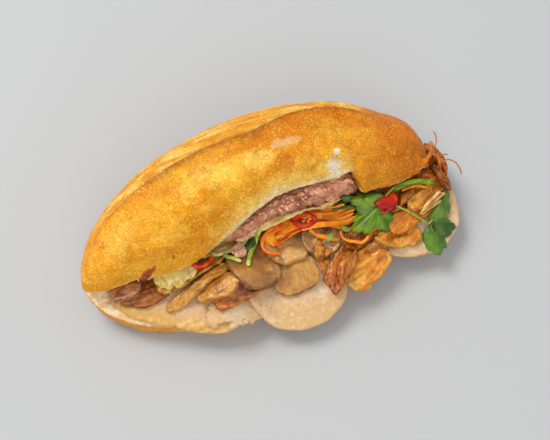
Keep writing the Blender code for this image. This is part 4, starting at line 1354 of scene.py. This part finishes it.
def leaflet(base, tip, half_width, seed):
    """A fan-shaped leaflet of coriander: points, faces, how much of a vein each point is, and grain."""
    base, tip = np.array(base, float), np.array(tip, float)
    along = tip - base
    length = np.linalg.norm(along)
    along /= length
    across = np.cross([0.0, 0.0, 1.0], along)
    across /= np.linalg.norm(across)
    normal = np.cross(along, across)
    rows, spokes, thick, open_half = 12, 64, 0.2, 1.2
    rng = random.Random(seed)
    phases = [rng.uniform(0, 2 * math.pi) for _ in range(4)]
    outward, around = np.linspace(0.04, 1, rows), np.linspace(-open_half, open_half, spokes)
    share, turn = np.meshgrid(outward, around, indexing="ij")
    lobes = 0.13 * np.abs(np.cos(turn * math.pi / 0.8)) ** 0.7
    lobes = lobes + 0.03 * np.abs(np.cos(turn * math.pi / 0.27 + phases[0]))
    reach = length * (0.84 - 0.14 * (turn / open_half) ** 2 + lobes + 0.03 * np.sin(3 * turn + phases[1]))
    u = share * reach * np.cos(turn)
    v = share * reach * np.sin(turn)
    v *= half_width / np.abs(v).max()
    veins = np.zeros_like(u)
    for spoke in (-0.8, -0.4, 0.0, 0.4, 0.8):
        away = share * reach * np.abs(np.sin(turn - spoke))
        veins = np.maximum(veins, np.exp(-(away / (0.32 if spoke == 0 else 0.22)) ** 2))
    lift = -0.12 * half_width * (np.abs(v) / half_width) ** 1.5 * 2 - 0.10 * length * share ** 2
    ripple, wave = np.sin(7 * turn + phases[2]), np.sin(2.5 * turn + phases[3])
    lift += 0.03 * half_width * share ** 2 * ripple + 0.12 * half_width * wave
    lift -= 0.06 * veins
    surface = base + u[..., None] * along + v[..., None] * across + lift[..., None] * normal
    edge = thick * np.sqrt(np.maximum(1 - share ** 6, 0.05))[..., None] * normal
    flat = np.concatenate([(surface + edge).reshape(-1, 3), (surface - edge).reshape(-1, 3)])
    half = rows * spokes
    faces = []
    for i in range(rows - 1):
        for k in range(spokes - 1):
            a, b = i * spokes + k, (i + 1) * spokes + k
            faces += [(a, b, b + 1, a + 1), (half + a, half + a + 1, half + b + 1, half + b)]
    border = list(range(spokes)) + [i * spokes + spokes - 1 for i in range(1, rows)]
    border += [(rows - 1) * spokes + k for k in range(spokes - 2, -1, -1)]
    border += [i * spokes for i in range(rows - 2, 0, -1)]
    for k, a in enumerate(border):
        b = border[(k + 1) % len(border)]
        faces.append((a, b, half + b, half + a))
    grain = np.stack([u, v, share], axis=2).reshape(-1, 3)
    veins = veins.ravel()
    return flat, faces, np.concatenate([veins, veins]), np.concatenate([grain, grain])


LEAFLETS = (
    # stalk end, tip, half the width, deep green, light green
    ((58.5, -9.0, 31.0), (40.0, -3.0, 31.5), 8.0, (72, 112, 8), (152, 182, 44)),
    ((55.0, -11.0, 30.6), (35.5, -19.0, 26.8), 8.4, (66, 108, 6), (136, 172, 30)),
    ((53.0, -11.5, 30.4), (55.5, -25.5, 25.8), 7.0, (62, 106, 6), (132, 172, 28)),
    ((80.5, -24.5, 19.5), (97.5, -10.5, 20.5), 6.4, (74, 110, 26), (134, 162, 66)),
    ((80.5, -26.0, 18.6), (95.0, -30.0, 16.5), 6.0, (42, 78, 22), (92, 126, 50)),
    ((80.0, -25.5, 18.8), (78.5, -43.5, 14.5), 7.6, (58, 100, 20), (114, 152, 46)),
    ((-15.0, -6.5, 29.0), (-22.5, -12.5, 29.0), 2.6, (36, 78, 14), (76, 118, 34)),
    ((26.0, -16.5, 25.5), (20.5, -19.5, 25.5), 1.8, (112, 138, 30), (170, 186, 70)),
    ((31.0, -14.5, 26.5), (35.5, -18.0, 26.0), 1.6, (92, 126, 24), (150, 176, 56)),
    ((36.0, 1.0, 30.0), (44.5, -1.5, 30.5), 2.2, (44, 84, 12), (84, 124, 34)),
    ((58.0, -8.0, 33.4), (46.5, -6.0, 32.6), 4.4, (66, 108, 8), (132, 170, 36)),
)
STALK, STALK_END = (57.0, -10.8), (79.0, -25.4, 19.2)
STALKS = (
    # the points that a stalk runs through, and its width
    (((54.0, -13.0, 30.2), (*STALK, 31.2), (62.0, -13.0, 29.5), (70.0, -18.6, 26.0), STALK_END), 1.15),
    (((*STALK, 31.0), (59.5, -7.5, 31.5), (66.0, -4.0, 32.0)), 1.0),
    ((STALK_END, (82.0, -24.0, 19.5)), 1.0),
)


def coriander(material):
    """Two sprigs on one stalk, and small bits of leaf around the carrot."""
    parts = []
    for seed, (base, tip, half, deep, light) in enumerate(LEAFLETS, 1):
        points, faces, veins, grain = leaflet(base, tip, half, seed)
        tone = smoothstep(-0.6, 0.7, fractal(points, 4.0, 700 + seed, 3))
        colour = 0.88 * layered(srgb(*deep), (light, 0.65 * tone), (light, 0.25 * veins))
        parts.append((points, faces, colour, grain))
    for path, width in STALKS:
        points, faces, grain = strand(curve_through(path, 30), width, width, sides=8, square=2.0)
        parts.append((points, faces, srgb(150, 168, 62), grain))
    built("coriander_sprig", parts, material)


def lip_sliver(material):
    """A thin browned sliver that has stuck to the crust over the left end of the mouth."""
    tree = Heights(["bread_roll"]).tree
    out = Vector((-0.2, -0.65, 0.73)).normalized()
    long = Vector((0.80, 0.42, 0.60)).normalized()
    long = (long - out * long.dot(out)).normalized()
    wide = out.cross(long)
    centre = Vector((-75.2, -12.5, 36.2))
    rings, sides = 6, 30
    top, under, shares = [], [], []
    rng = random.Random(81)
    waves = [(k, rng.uniform(0, 2 * math.pi)) for k in (2, 3, 5, 8)]
    for i in range(rings + 1):
        for k in range(sides if i else 1):
            angle = 2 * math.pi * k / sides
            reach = i / rings * (1 + sum(0.09 * math.sin(n * angle + phase) for n, phase in waves))
            place = centre + long * 6.4 * reach * math.cos(angle) + wide * 2.2 * reach * math.sin(angle)
            hit = tree.ray_cast(place + out * 12, -out)[0] or place
            rise = 0.75 * math.sqrt(max(1 - (i / rings) ** 4, 0.04))
            top.append(hit + out * (rise + 0.15))
            under.append(hit - out * 0.3)
            shares.append(i / rings)
    points = np.array([list(p) for p in top + under])
    half = len(top)
    faces = disc(0, sides, rings) + flipped(disc(half, sides, rings))
    rim = 1 + (rings - 1) * sides
    for k in range(sides):
        this, following = rim + k, rim + (k + 1) % sides
        faces.append((this, half + this, half + following, following))
    tone = smoothstep(-0.5, 0.7, fractal(points, 2.0, 82, 2))
    to_edge = np.array(shares * 2) ** 3 * 0.7
    colour = layered(srgb(160, 56, 12), ((116, 34, 6), tone), ((206, 108, 30), to_edge))
    built("stuck_sliver", [(points, faces, colour, None)], material)


def disc(start, sides, rings):
    """The faces of a middle point and the rings of points around it."""
    found = []
    for k in range(sides):
        following = (k + 1) % sides
        found.append((start, start + 1 + k, start + 1 + following))
        for ring in range(rings - 1):
            inner, outer = start + 1 + ring * sides, start + 1 + (ring + 1) * sides
            found.append((inner + k, outer + k, outer + following, inner + following))
    return found


def lip_crumbs(material):
    """Small crumbs of pate along the front of its band, and a smear at the band's left end."""
    tree = Heights(["bread_roll", "pate", "cucumber_slice_3"])
    rng = random.Random(91)
    parts = []
    for number in range(90):
        x = rng.uniform(-22, 44)
        y = float(sections(np.array([x]))["lip_y"][0]) - rng.uniform(1.5, 7.5)
        z = tree.at(x, y, 0.0)
        if z < 30:
            continue
        size = rng.uniform(0.45, 1.1)
        sizes = (size * rng.uniform(1, 1.8), size, size * 0.8)
        points, faces = blob((x, y, z - 0.1), sizes, 0.35, 900 + number, rings=5, turn=rng.uniform(0, 3))
        colour = layered(srgb(244, 190, 148), ((206, 138, 110), rng.random()))
        parts.append((points, faces, colour, None))
    for number in range(12):
        share = (number % 6) / 5
        x = -23.0 + 8.5 * share + rng.uniform(-0.6, 0.6)
        y = -5.2 + 1.2 * share + rng.uniform(-0.9, 0.9)
        place = (x, y, 29.2 + rng.uniform(-0.7, 0.5))
        sizes = (rng.uniform(1.6, 2.4), rng.uniform(1.1, 1.6), 1.2)
        points, faces = blob(place, sizes, 0.3, 990 + number, rings=8, turn=rng.uniform(-0.4, 0.6))
        colour = layered(srgb(244, 200, 158), ((218, 158, 122), rng.random()))
        parts.append((points, faces, colour, None))
    built("spread_crumbs", parts, material)


# --- stage


def stage():
    """A grey floor, an even sky, and the lights."""
    mesh = bpy.data.meshes.new("floor")
    corners = [(x * FLOOR_HALF, y * FLOOR_HALF, 0) for x, y in ((-1, -1), (1, -1), (1, 1), (-1, 1))]
    mesh.from_pydata(corners, [], [(0, 1, 2, 3)])
    floor = bpy.data.objects.new("floor", mesh)
    bpy.context.scene.collection.objects.link(floor)
    graph = Graph("floor")
    graph.settle({"Base Color": FLOOR_COLOUR, "Roughness": FLOOR_ROUGHNESS})
    mesh.materials.append(graph.material)

    world = bpy.data.worlds.new("studio")
    world.use_nodes = True
    background = world.node_tree.nodes["Background"]
    background.inputs["Color"].default_value = SKY_COLOUR
    background.inputs["Strength"].default_value = SKY_STRENGTH
    bpy.context.scene.world = world
    for name, place, width, power in LIGHTS:
        data = bpy.data.lights.new(name, "AREA")
        data.shape = "DISK"
        data.size = width
        data.energy = power
        lamp = bpy.data.objects.new(name, data)
        lamp.location = place
        lamp.rotation_euler = (-Vector(place)).to_track_quat("-Z", "Y").to_euler()
        bpy.context.scene.collection.objects.link(lamp)
    bpy.context.scene.view_settings.view_transform = "Standard"


def camera():
    """The view that the photograph has, from above and in front."""
    data = bpy.data.cameras.new("camera")
    data.sensor_width = SENSOR_WIDTH
    data.lens = LENS
    data.clip_start, data.clip_end = CLIP_START, CLIP_END
    obj = bpy.data.objects.new("camera", data)
    azimuth, elevation = math.radians(CAMERA_AZIMUTH), math.radians(CAMERA_ELEVATION)
    level = math.cos(elevation)
    back = np.array([math.sin(azimuth) * level, -math.cos(azimuth) * level, math.sin(elevation)])
    obj.location = Vector((DATUM + CAMERA_AIM + back * CAMERA_DISTANCE) * MM)
    obj.rotation_euler = Vector(-back).to_track_quat("-Z", "Y").to_euler()
    bpy.context.scene.collection.objects.link(obj)
    bpy.context.scene.camera = obj


def main():
    camera()
    stage()
    bread()
    looks = {name: food(name, **settings) for name, settings in FOODS.items()}
    pork_roll_slices(looks["pork_roll"])
    roast_pork(looks["roast_pork"], looks["roast_pork_slices"], looks["roast_pork_glazed"])
    lip_sliver(looks["roast_pork"])
    roast_scraps(looks["roast_pork"])
    pate(looks["pate"])
    lip_crumbs(looks["pate"])
    cucumbers(looks["cucumber"])
    chilli_rings(looks["chilli"], looks["chilli_seeds"])
    carrot_shreds(looks["carrot"])
    spring_onions(looks["herbs"])
    carrot_heap(looks["carrot"])
    coriander(looks["coriander"])
    crisp_heap(looks["crisp_shreds"])


main()
